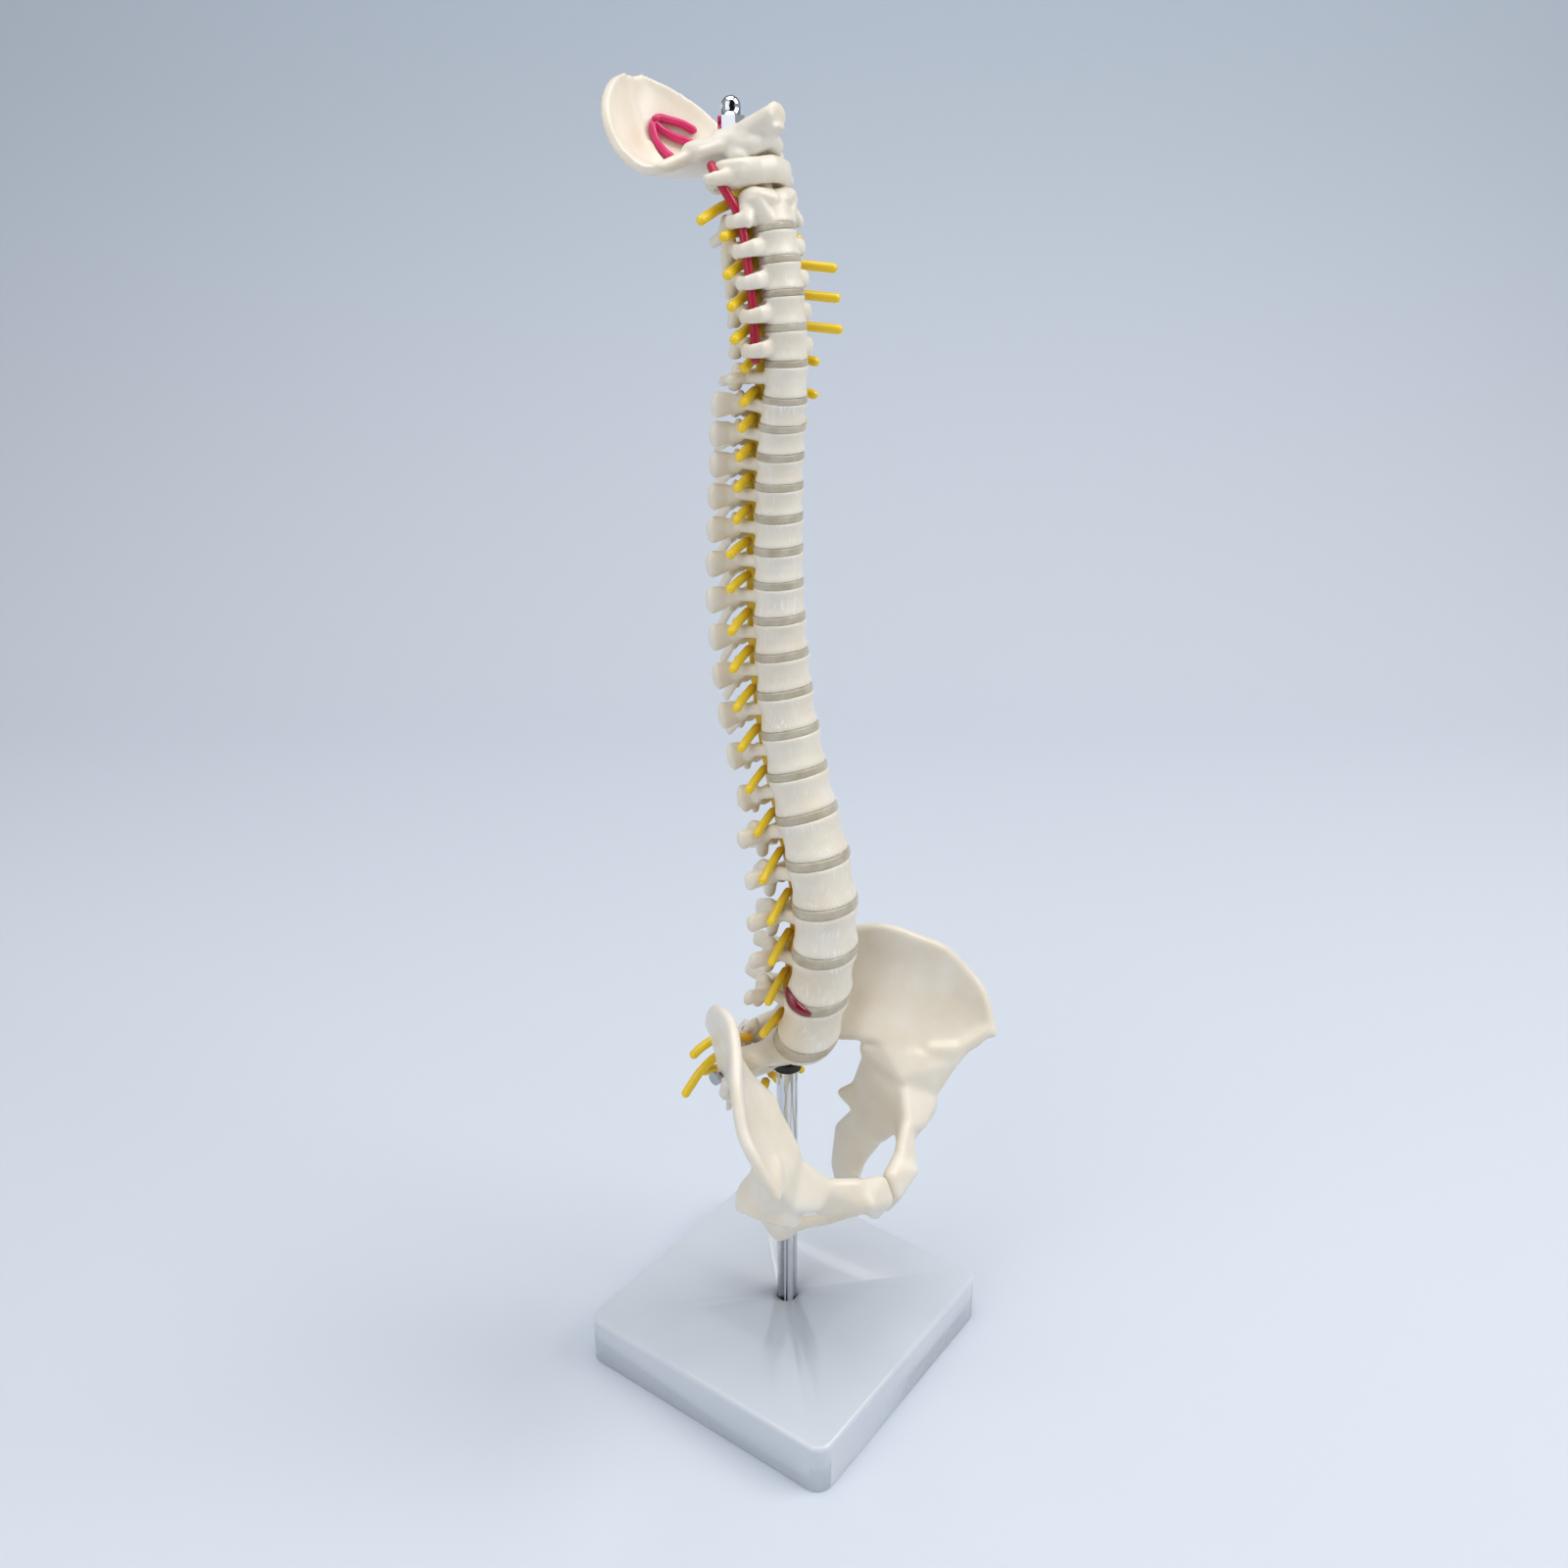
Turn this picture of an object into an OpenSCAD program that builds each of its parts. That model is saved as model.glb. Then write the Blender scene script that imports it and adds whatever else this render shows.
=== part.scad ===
// Desk model of the human spine with pelvis and skull base, half life size.
// Millimetres. Origin at the middle of the base's underside, Z up.
// The model faces -Y, and its own left side is +X.

/* [Base and rod] */
// Side of the square base plate
base_w = 112; // [100:1:140]
// Thickness of the base plate
base_h = 20; // [18:0.5:30]
// Radius of the base's upright corners
base_corner_r = 6; // [3:0.5:12]
// Round-over along the base's top edge
base_edge_r = 2; // [0.5:0.1:2.8]
// Diameter of the chrome rod
rod_d = 8; // [7:0.1:9]
// Depth of the rod's blind seat in the base
rod_seat = 14; // [8:0.5:16]
// Turn of the whole spine on its stand, its left side forward
stand_turn = 5; // [0:0.5:8]
// Height at which the rod enters the front of the sacrum
rod_entry_z = 127; // [124:0.5:130]
// Length of rod inside the sacrum
rod_grip = 10; // [8:0.5:12]
// Height of the dark collar under the sacrum
collar_h = 3; // [2:0.1:4]
// Wall of the dark collar
collar_wall = 1.2; // [0.8:0.1:1.6]

/* [Column] */
// Height of the lowest disc's centre above the underside of the base
sacral_disc_z = 145; // [143:0.5:148]
// Mean step from disc to disc in the lower back
lumbar_pitch = 17.4; // [17:0.1:18.4]
// Growth of that step from one level to the next one down
lumbar_taper = 1.2; // [0.8:0.05:1.5]
// Mean step in the chest region
thoracic_pitch = 11.2; // [10.9:0.1:12]
// Growth of that step from one level to the next one down
thoracic_taper = 0.55; // [0.4:0.05:0.65]
// Mean step in the neck
cervical_pitch = 9.6; // [9.3:0.1:10.4]
// Growth of that step from one level to the next one down
cervical_taper = 0.5; // [0.2:0.05:0.6]
// Height of the axis from its disc to the joint with the atlas
axis_h = 10.5; // [10:0.1:11.5]
// Height of the atlas
atlas_h = 7.5; // [7:0.1:8.5]
// Disc thickness at the bottom of the column
lumbar_disc_t = 4.2; // [3.4:0.1:5]
// Disc thickness in the chest and neck
upper_disc_t = 2.4; // [2:0.1:2.8]

/* [Vertebral bodies] */
// Width of the lowest body
lumbar_w = 28; // [25:0.5:30]
// Width of a body at mid chest
thoracic_w = 17; // [15.5:0.5:19]
// Width of a neck body
cervical_w = 14.6; // [13.5:0.2:15.4]
// Depth of the lowest body
lumbar_d = 20.4; // [18:0.2:22]
// Depth of a body at mid chest
thoracic_d = 15.6; // [14:0.2:17]
// Depth of a neck body
cervical_d = 11; // [10:0.2:12]
// Width of the waist as a share of the rim
waist = 0.92; // [0.8:0.01:0.96]

/* [Arches] */
// Width of the canal behind the lower bodies
lumbar_canal_w = 12; // [11:0.2:13]
// Width of the canal in the chest region
thoracic_canal_w = 9; // [8.6:0.2:10]
// Width of the canal in the neck
cervical_canal_w = 11; // [10.4:0.2:11.6]
// Depth of the canal from front to back
canal_d = 8; // [7.8:0.1:9]
// Radius of the bony bars that make the arches
bar_r = 1.7; // [1.5:0.05:1.9]
// Reach of the lower back's side processes from the middle
lumbar_reach = 21; // [19:0.5:24]
// Reach of the chest region's side processes
thoracic_reach = 15; // [13.5:0.5:17]
// Reach of the neck's side processes
cervical_reach = 13.6; // [13:0.2:14.4]
// Length of the lower back's spinous processes
lumbar_spine_l = 14; // [11:0.5:17]
// Length of the chest region's spinous processes
thoracic_spine_l = 15; // [12:0.5:18]
// Length of the neck's spinous processes
cervical_spine_l = 8; // [7:0.5:10]

/* [Pelvis] */
// Half the distance between the hip blades at their widest
hip_reach = 65; // [62:0.5:68]
// Height of the crest's highest point
crest_z = 173; // [170:0.5:175]
// Height of the pubic joint's centre
pubis_z = 94; // [91:0.5:97]
// Height of the sitting bones' undersides
seat_z = 64.5; // [62:0.5:67]
// Distance of the pubic joint in front of the rod
pubis_fwd = 48; // [46:0.5:50]
// Radius of the hip socket
socket_r = 10.4; // [10:0.1:10.8]
// Wall of the hip socket
socket_wall = 2; // [1.6:0.1:2.6]
// Angle by which the right hip bone hangs lower than the left one
hip_drop = 2; // [0:0.5:3]
// Gap between the two pubic bones
pubic_gap = 1.6; // [1:0.1:2.2]
// Diameter of the screws that join hips and sacrum
hip_screw_d = 2.6; // [2:0.1:3]

/* [Skull base] */
// Thickness of the skull base's wall
skull_t = 2.2; // [1.8:0.1:2.8]
// Diameter of the artery on the skull base
basal_artery_d = 2.6; // [2:0.1:3.2]

/* [Cord, nerves and vessels] */
// Diameter of the spinal cord
cord_d = 5; // [4.4:0.1:5.6]
// Diameter of a nerve root
nerve_d = 3; // [2.4:0.1:3.4]
// Diameter of the vertebral arteries
artery_d = 2.8; // [2.2:0.1:3.2]
// Distance of the vertebral arteries from the middle
artery_x = 10.4; // [10:0.1:10.8]

/* [Core and nut] */
// Diameter of the bent core rod
core_d = 2.6; // [2:0.1:3]
// Height of the washer's underside above the underside of the base
washer_z = 440; // [438:0.5:443]
// Diameter of the washer
washer_d = 10; // [8.5:0.5:11]
// Thickness of the washer
washer_t = 1; // [0.8:0.1:1.4]
// Width across the flats of the cap nut
nut_af = 7; // [6:0.5:8]
// Height of the nut's hexagon
nut_hex_h = 4; // [3:0.1:5]
// Height of the nut's dome above the hexagon
nut_dome_h = 5.4; // [4.4:0.1:6.4]

/* [Hidden] */
// Clearance between pieces that seat in each other
clear = 0.3;
// Clearance round the chrome rod and the core rod
bore_clear = 0.1;
// Number of vertebrae between sacrum and skull
LEVELS = 24;
VERTEBRAE = ["l5", "l4", "l3", "l2", "l1", "t12", "t11", "t10", "t9", "t8", "t7", "t6",
    "t5", "t4", "t3", "t2", "t1", "c7", "c6", "c5", "c4", "c3", "c2_axis", "c1_atlas"];
DISCS = ["disc_l5_s1", "disc_l4_l5", "disc_l3_l4", "disc_l2_l3", "disc_l1_l2", "disc_t12_l1",
    "disc_t11_t12", "disc_t10_t11", "disc_t9_t10", "disc_t8_t9", "disc_t7_t8", "disc_t6_t7",
    "disc_t5_t6", "disc_t4_t5", "disc_t3_t4", "disc_t2_t3"];

BONE = "#EBE4D7";
DISC = "#B5A999";
NERVE = "#EBBE14";
RED = "#AF1432";
MAGENTA = "#C81E64";
CHROME = "#C8CCD0";

// Level 0 is the disc on the sacrum, 22 the disc under the axis, 23 the joint of axis and
// atlas, and 24 the joint of atlas and skull.
LUMBAR_TOP = 5;
THORACIC_TOP = 17;
AXIS = 22;
ATLAS = 23;

// Height gained by going up n levels in a region of m levels, which shrink by taper
function rise(n, m, pitch, taper) = n * pitch + taper * n * (m - n) / 2;
function level_z(k) = sacral_disc_z
    + rise(min(k, LUMBAR_TOP), LUMBAR_TOP, lumbar_pitch, lumbar_taper)
    + rise(max(0, min(k, THORACIC_TOP) - LUMBAR_TOP), THORACIC_TOP - LUMBAR_TOP,
        thoracic_pitch, thoracic_taper)
    + rise(max(0, min(k, AXIS) - THORACIC_TOP), AXIS - THORACIC_TOP,
        cervical_pitch, cervical_taper)
    + max(0, min(k, ATLAS) - AXIS) * axis_h
    + max(0, k - ATLAS) * atlas_h;

// Side view of the column: how far each level lies in front of the rod, and how far its
// upward direction leans forward
FORWARD = [[0, 8.4], [1, 15.4], [2, 17.6], [3, 17.6], [4, 13.8], [5, 8.4], [6, 4.2], [7, 1],
    [8, -1.6], [10, -3.7], [12, -4.1], [14, -3.7], [16, -2.5], [17, -1], [18, -0.5],
    [19, -0.8], [20, -1.8], [21, -3.4], [22, -4.8], [23, -9.4], [24, -14.4]];
LEAN = [[0, 24], [1, 14], [2.5, 0], [5, -17], [8, -10], [11, -2], [14, 2], [16.5, 7],
    [19, -3], [22, -12], [24, -8]];
function forward(k) = (lookup(k - 0.3, FORWARD) + lookup(k + 0.3, FORWARD)) / 2;
function lean(k) = lookup(k, LEAN);
function half_w(k) = lookup(k, [[0, lumbar_w / 2], [5, (lumbar_w + thoracic_w) / 4 + 0.6],
    [11, thoracic_w / 2], [16, thoracic_w / 2], [18, cervical_w / 2]]);
function half_d(k) = lookup(k, [[0, lumbar_d / 2], [3, lumbar_d / 2],
    [11, thoracic_d / 2], [17, cervical_d / 2 + 0.6], [19, cervical_d / 2]]);
function disc_t(k) = lookup(k, [[0, lumbar_disc_t], [6, upper_disc_t]]);
// Depth of the rear face of a body behind its centre
function rear(k) = 0.86 * half_d(k);
function canal_w(k) = lookup(k, [[0, lumbar_canal_w], [4, lumbar_canal_w],
    [9, thoracic_canal_w], [15, thoracic_canal_w], [18, cervical_canal_w]]);
function canal_back(k) = rear(k) + canal_d / 2;

// Point of the row frame for a point [x, rearward, up] of the frame at level k
function place(k, p) = [
    p[0],
    -forward(k) + p[1] * cos(lean(k)) - p[2] * sin(lean(k)),
    level_z(k) + p[1] * sin(lean(k)) + p[2] * cos(lean(k))];
module at_level(k) translate([0, -forward(k), level_z(k)]) rotate([lean(k), 0, 0]) children();
module both_sides() {
    children();
    mirror([1, 0, 0]) children();
}

// Kidney-shaped outline of a body or disc, hollowed at the rear for the canal
function kidney(w, d, n) = [for (i = [0 : n - 1]) let (t = 360 * i / n, s = sin(t))
    [w * cos(t), s < 0 ? d * s : d * (0.98 * s - 0.12 * pow(s, 6))]];

// Closed skin over rings of equal point count, from the first ring to the last
module skin(rings) {
    n = len(rings[0]);
    m = len(rings);
    polyhedron(
        points = [for (ring = rings) for (p = ring) p],
        faces = concat(
            [[for (i = [0 : n - 1]) i]],
            [[for (i = [0 : n - 1]) m * n - 1 - i]],
            [for (j = [0 : m - 2]) for (i = [0 : n - 1])
                [j * n + i, (j + 1) * n + i, (j + 1) * n + (i + 1) % n]],
            [for (j = [0 : m - 2]) for (i = [0 : n - 1])
                [j * n + i, (j + 1) * n + (i + 1) % n, j * n + (i + 1) % n]]));
}

// Ring of n points round p, square to the direction d and stretched by tall in its height
function unit(v) = v / norm(v);
function ring(p, d, r, tall, n) = let (
    u = norm(cross(d, [0, 0, 1])) < 0.1 ? [1, 0, 0] : unit(cross(d, [0, 0, 1])), v = cross(u, unit(d)))
    [for (i = [0 : n - 1]) p + r * (cos(360 * i / n) * u + tall * sin(360 * i / n) * v)];
// Six-sided bar between two points
module strut(p, q, r, tall = 1) {
    v = q - p;
    translate(p) rotate([0, acos(v[2] / norm(v)), atan2(v[1], v[0])])
        linear_extrude(norm(v)) polygon([for (t = [0 : 60 : 300]) [tall * r * cos(t), r * sin(t)]]);
}
// Tapered bar with a rounded far end
module bar(p, q, r, s, tall = 1, n = 6) hull() skin([
    ring(p, q - p, r, tall, n), ring(q - unit(q - p) * s * 0.6, q - p, s, tall, n), ring(q, q - p, s * 0.6, tall, n)]);
// Rounded pin between two points, with true round ends
module pin(p, q, d) {
    v = q - p;
    l = norm(v);
    translate(p) rotate([0, acos(v[2] / l), atan2(v[1], v[0])]) {
        cylinder(l, d = d, $fn = 24);
        sphere(d = d, $fn = 24);
        translate([0, 0, l]) sphere(d = d, $fn = 24);
    }
}
// Round-ended tube through a few points, for what bends
function heading(points, i) = let (m = len(points) - 1)
    unit(unit(points[min(i + 1, m)] - points[min(i, m - 1)]) + unit(points[max(i, 1)] - points[max(i - 1, 0)]));
function hoop(p, d, r, n) = let (u = unit(cross(d, norm(cross(d, [0, 0, 1])) < 0.1 ? [0, 1, 0] : [0, 0, 1])),
    v = cross(u, d)) [for (i = [0 : n - 1]) p + r * (cos(360 * i / n) * u - sin(360 * i / n) * v)];
module tube(points, d, n = 8) {
    m = len(points) - 1;
    r = d / 2;
    skin(concat(
        [hoop(points[0] - 0.6 * r * heading(points, 0), heading(points, 0), 0.6 * r, n)],
        [for (i = [0 : m]) hoop(points[i], heading(points, i), r, n)],
        [hoop(points[m] + 0.6 * r * heading(points, m), heading(points, m), 0.6 * r, n)]));
}
// Tube swept through a list of points that rise with z, as level rings
module sweep(points, r, n) {
    skin([for (p = points) [for (i = [0 : n - 1])
        p + r * [cos(360 * (i + 0.5) / n), sin(360 * (i + 0.5) / n), 0]]]);
}

// Waisted body between the planes of the discs below and above
module body_core(k, top) {
    w = half_w(k + 0.5);
    d = half_d(k + 0.5);
    low = disc_t(k) / 2;
    high = top - disc_t(k + 1) / 2;
    skin([for (s = [[0, 1], [0.28, waist], [0.72, waist], [1, 1]])
        [for (p = kidney(w * s[1], d * s[1], 12))
            (1 - s[0]) * place(k, [p[0], p[1], low])
            + s[0] * place(k + 1, [p[0], p[1], high])]]);
}

// Half outline of the ring round the canal, seen from above
function ring_outline(k) = let (c = canal_w(k) / 2, y0 = rear(k), y1 = y0 + canal_d) [
    [c - 0.6, y0 - 2.6], [c + 2.6 * bar_r - 1.4, y0 - 1.8], [c + 2 * bar_r, y0 + 1.6],
    [c + 2 * bar_r, y1 - 2.4], [c + bar_r, y1 + 0.2], [0, y1 + 2 * bar_r]];
function mirrored(points) = concat(points, [for (i = [len(points) - 1 : -1 : 0]) [-points[i][0], points[i][1]]]);
module canal_hole(k) translate([0, rear(k) + canal_d / 2])
    polygon([for (t = [15 : 30 : 345]) [canal_w(k) / 2 * cos(t), canal_d / 2 * sin(t)] / cos(15)]);
// Highest place of an arch that stays clear of the disc above its body
function arch_top(k, wish) = min(wish, (level_z(k + 0.5) - level_z(k - 0.5) - disc_t(k)) / 2 - clear);
// Arch behind a body: a ring of pedicles, a deeper lamina below it, and the joint processes
module arch(k, high, deep, sup, inf, sup_h) {
    y1 = rear(k) + canal_d;
    translate([0, 0, high - 2 * bar_r]) linear_extrude(2 * bar_r) difference() {
        polygon(mirrored(ring_outline(k)));
        canal_hole(k);
    }
    translate([0, 0, high - 2 * bar_r - deep]) linear_extrude(deep + bar_r) difference() {
        polygon(mirrored([[canal_w(k) / 2 - 1, y1 - 1.4], [canal_w(k) / 2 + 1.6, y1 - 2.6],
            [canal_w(k) / 2 + 0.6, y1 + 0.2], [0, y1 + 2 * bar_r - 0.3]]));
        canal_hole(k);
    }
    both_sides() {
        strut([canal_w(k) / 2 + 1.4, y1 - 1.8, high - 2.6], [sup[0], sup[1], sup_h], 1.6);
        strut([canal_w(k) / 2 - 0.6, y1 + 0.4, 0], [inf[0], inf[1], -sup_h], 1.5);
    }
}
// Blade of a spinous process, cut from its side view
module blade(k, length, fall, root, tip, thick) {
    y = rear(k) + canal_d + bar_r;
    rotate([90, 0, 90]) linear_extrude(thick, center = true) polygon([
        [y, -1.2 - root / 2], [y, -1.2 + root / 2], [y + length * 0.5, -1.2 + tip / 2 - fall * 0.42],
        [y + length - 1, -1 + tip / 2 - fall], [y + length, -1.2 - fall + tip / 4],
        [y + length - 0.6, -1.4 - fall - tip / 2], [y + length * 0.5, -1.2 - tip / 2 - fall * 0.5]]);
}

module lumbar(i) {
    k = i + 0.5;
    c = canal_w(k) / 2;
    y1 = rear(k) + canal_d;
    reach = lumbar_reach - 1.2 * abs(i - 2);
    color(BONE) union() {
        body_core(i, 0);
        at_level(k) {
            arch(k, arch_top(k, 4.6), 3.6, [c + 3.6, y1 + 0.2], [c - 0.6, y1 + 2.2], 8.6 - 0.5 * i);
            both_sides() bar([c + 2, y1 - 2.4, 2.6], [reach, y1 - 0.6, 3.4], 1.8, 1.5, 1.2);
            blade(k, lumbar_spine_l, 2, 8, 8.5, 2.2);
        }
    }
}
module thoracic(i) {
    k = i + 0.5;
    c = canal_w(k) / 2;
    j = i - LUMBAR_TOP;
    y1 = rear(k) + canal_d;
    reach = thoracic_reach + lookup(j, [[0, -4.4], [2, -2], [5, 0], [9, 0.6], [11, 2.4]]);
    fall = lookup(j, [[0, 3], [3, 9], [6, 11], [9, 8], [11, 4]]);
    color(BONE) union() {
        body_core(i, 0);
        at_level(k) {
            arch(k, arch_top(k, 3.4), 1.4, [c + 1, y1 - 0.4], [c - 0.4, y1 + 2.6], 5.9 - 0.14 * j);
            both_sides() bar([c + 1.2, y1 - 1.8, 1.2], [reach, y1 + 2.8, 1.2], 1.7, 2, 1.7);
            blade(k, thoracic_spine_l - fall * 0.35, fall, 5, 3.6 - 0.1 * j, 2);
        }
    }
}
// Distance of the vertebral artery behind the centre of a neck body
artery_back = 3.2;
// Fork of bars round the opening for the vertebral artery
module fork(k) {
    x = artery_x;
    y = artery_back;
    gap = artery_d / 2 + clear + 1.1;
    both_sides() {
        strut([half_w(k) - 2.4, y - gap, -0.4], [x + 0.8, y - gap, -0.6], 1.1);
        strut([x, y - gap, -0.6], [cervical_reach, y + 0.6, -1], 1.1);
        strut([canal_w(k) / 2 + 1, y + gap + 0.9, 0.2], [cervical_reach, y + 0.6, -1], 1.1);
    }
}
module cervical(i) {
    k = i + 0.5;
    c = canal_w(k) / 2;
    y1 = rear(k) + canal_d;
    low = i == THORACIC_TOP;
    color(BONE) union() {
        body_core(i, 0);
        at_level(k) {
            arch(k, arch_top(k, 2.4), 0.6, [c + 2, y1 - 0.8], [c + 1.2, y1 + 2.4], 4.9);
            if (low) both_sides() bar([c + 2, y1 - 3, 0.6], [cervical_reach + 2, y1 - 4, 0.4], 1.7, 1.8, 1);
            else fork(k);
            blade(k, low ? cervical_spine_l + 5 : cervical_spine_l, 2.6, 3.6, 2.8, low ? 2.2 : 3.2);
        }
    }
}
// Axis: body with the dens standing on it, broad shoulders and a heavy forked spine
module axis_bone() {
    k = AXIS + 0.35;
    c = canal_w(k) / 2;
    color(BONE) union() {
        skin([for (s = [[0, 1], [0.3, waist], [0.8, 0.8]])
            [for (p = kidney(half_w(AXIS) * s[1], half_d(AXIS) * s[1], 12))
                place(AXIS, [p[0], p[1], disc_t(AXIS) / 2 + s[0] * (axis_h - 3)])]]);
        at_level(k) {
            translate([0, 1.4, 0]) cylinder(dens_top - 2, r = 2.6, $fn = 24);
            translate([0, 1.4, dens_top - 2]) sphere(2.6, $fn = 24);
            both_sides() bar([3, 0.4, 2.6], [9.4, 2.6, 3.2], 2.6, 2.6, 1.1);
            arch(k, 2.6, 1.4, [c + 2, rear(k) + canal_d - 3], [c + 1.2, rear(k) + canal_d + 2.4], 4.4);
            fork(k);
            blade(k, cervical_spine_l + 2, 3, 5.4, 4.2, 4.2);
        }
    }
}
// Height of the dens above the middle of the axis
dens_top = 12;
// Atlas: a ring without a body, with wide side masses that carry the skull
module atlas_bone() {
    k = ATLAS + 0.5;
    outer = [[0, -7.6], [4.4, -6.4], [10.6, -3.4], [12, 2], [11.6, 6.6], [8.6, 12.6], [4.6, 16.6], [0, 18.6]];
    inner = [[0, -4.4], [4, -3.6], [5.6, 0], [5.6, 4.6], [7, 8], [6, 12], [3.4, 14.8], [0, 15.8]];
    color(BONE) union() at_level(k) {
        translate([0, 0, -1.9]) linear_extrude(3.8) difference() {
            polygon(mirrored(outer));
            polygon(mirrored(inner));
            both_sides() translate([artery_x + 3.2, artery_back]) circle(artery_d / 2 + clear, $fn = 16);
        }
        both_sides() {
            hull() for (z = [-3.4, 3]) translate([8.4, 1.4, z]) scale([2.7, 4.6, 1]) cylinder(0.6, r = 1, $fn = 10);
            strut([artery_x, artery_back - 3.2, -0.2], [18.4, artery_back, -0.4], 1.3);
            strut([artery_x, artery_back + 3.2, -0.2], [18.4, artery_back, -0.4], 1.3);
        }
    }
}

module disc_solid(k) {
    grow = 0.2;
    color(DISC) difference() {
        at_level(k) translate([0, 0, -disc_t(k) / 2]) linear_extrude(disc_t(k))
            polygon(kidney(half_w(k) + grow, half_d(k) + grow, 32));
        if (k < 2) cord_room();
    }
}
// The small discs of the neck and the one below them
module upper_discs() for (k = [len(DISCS) : AXIS]) disc_solid(k);
// Slipped part of the disc under the fourth lumbar body: a short crescent on its rim
module disc_prolapse() {
    r_in = half_w(1) + 0.2 + clear;
    color(RED) at_level(1) intersection() {
        difference() {
            scale_ring = [half_w(1) + 2.4, half_d(1) + 2.4];
            translate([0, 0, -1.6]) linear_extrude(3.2) polygon(kidney(scale_ring[0], scale_ring[1], 32));
            translate([0, 0, -3]) linear_extrude(6) polygon(kidney(r_in, half_d(1) + 0.2 + clear, 32));
        }
        translate([-9, -1, 0]) rotate([0, 0, 180]) translate([0, 0, -4]) cube([30, 13, 8]);
    }
}

// Centre of the canal at level k, where the cord and the core rod run
function canal_point(k) = place(k, [0, canal_back(k), 0]);
CORE_TOP = [0, 22.2, washer_z - 8];
CORE_LOW = [0, 0, rod_entry_z + rod_grip];
CORE_PATH = concat(
    [CORE_LOW, [0, 0.6, sacral_disc_z - 2]],
    [for (k = [0.8 : 2 : 20.8]) canal_point(k)],
    [canal_point(22.4), canal_point(23.5), CORE_TOP]);
// Room for the cord where it leaves the sacrum behind the lowest body
module cord_room() for (i = [0 : 2]) pin(CORE_PATH[i], CORE_PATH[i + 1], cord_d + 2 * clear);
function inner_path() = [for (i = [1 : len(CORE_PATH) - 2]) CORE_PATH[i]];
module spinal_cord() color(NERVE) difference() {
    sweep(inner_path(), cord_d / 2, 8);
    sweep([for (i = [0 : len(inner_path()) - 1]) inner_path()[i]
        + [0, 0, i == 0 ? -1 : i == len(inner_path()) - 1 ? 1 : 0]], core_d / 2 + bore_clear + 0.1, 6);
}
module core_rod() color(CHROME) union() {
    sweep([for (i = [0 : len(CORE_PATH) - 1]) CORE_PATH[i]], core_d / 2, 6);
    translate([CORE_TOP[0], CORE_TOP[1], CORE_TOP[2] - 1])
        cylinder(washer_z + washer_t + nut_hex_h - CORE_TOP[2] + 1, d = core_d, $fn = 24);
}
module cap_nut() color(CHROME) translate([CORE_TOP[0], CORE_TOP[1], washer_z + washer_t]) difference() {
    union() {
        cylinder(nut_hex_h, d = nut_af / cos(30), $fn = 6);
        translate([0, 0, nut_hex_h]) cylinder(nut_dome_h - nut_af * 0.42, r = nut_af * 0.42, $fn = 48);
        translate([0, 0, nut_hex_h + nut_dome_h - nut_af * 0.42]) sphere(nut_af * 0.42, $fn = 48);
    }
    translate([0, 0, -1]) cylinder(nut_hex_h + 1 + clear, d = core_d + 2 * bore_clear, $fn = 24);
}
module washer() color(CHROME) translate([CORE_TOP[0], CORE_TOP[1], washer_z]) difference() {
    cylinder(washer_t, d = washer_d, $fn = 48);
    translate([0, 0, -1]) cylinder(washer_t + 2, d = core_d + 2 * bore_clear, $fn = 24);
}

// A nerve root from the cord's side through the opening beside disc level k. Its tip lies
// ahead of its root and down from it. A bent one first passes behind the artery.
CORD_SIDE = [for (p = CORE_PATH) [p[2], p[1]]];
module nerve(k, out, ahead, down, bent) {
    z = canal_point(k)[2] + disc_t(k) / 2 + 0.6;
    p = [cord_d / 2 * cos(22.5) + nerve_d / 2 + clear, lookup(z, CORD_SIDE), z];
    q = [out, p[1] - ahead, p[2] - down];
    if (bent) tube([p, [artery_x + artery_d / 2 + 1.8, p[1] - 0.12 * ahead, p[2] - 0.5 * down], q], nerve_d);
    else pin(p, q, nerve_d);
}
// Right-hand roots hang, left-hand roots stand out to the front, as the soft plastic has set
module roots(levels, right, left, bent = false) for (k = levels) {
    mirror([1, 0, 0]) nerve(k, right[0], right[1], right[2], false);
    nerve(k, left[0], left[1], left[2], bent);
}
module cervical_nerves() color(NERVE) {
    roots([THORACIC_TOP + 2 : AXIS - 1], [17, 3, 4.4], [24, 11.6, 4.2], true);
    roots([THORACIC_TOP : THORACIC_TOP + 1], [12.6, 3, 3.4], [19, 9, 3.6], true);
    roots([AXIS], [17, 4, 2], [15, 7, 3]);
    roots([ATLAS - 0.25], [20, 1, 6], [14, 2, 2]);
}
module thoracic_nerves() color(NERVE) {
    roots([LUMBAR_TOP : 10], [14.6, 2, 5.4], [12, 1, 3]);
    roots([11 : 12], [13.6, 1, 3.6], [12, 1, 2]);
    roots([13 : THORACIC_TOP - 1], [12, 2.4, 3.2], [15, 6, 3.4]);
}
module lumbar_nerves() color(NERVE) {
    roots([1 : LUMBAR_TOP - 1], [17, 3.2, 7.4], [16, 2.6, 5]);
    roots([0], [19, 4, 2], [17, 2, 3]);
}

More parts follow.
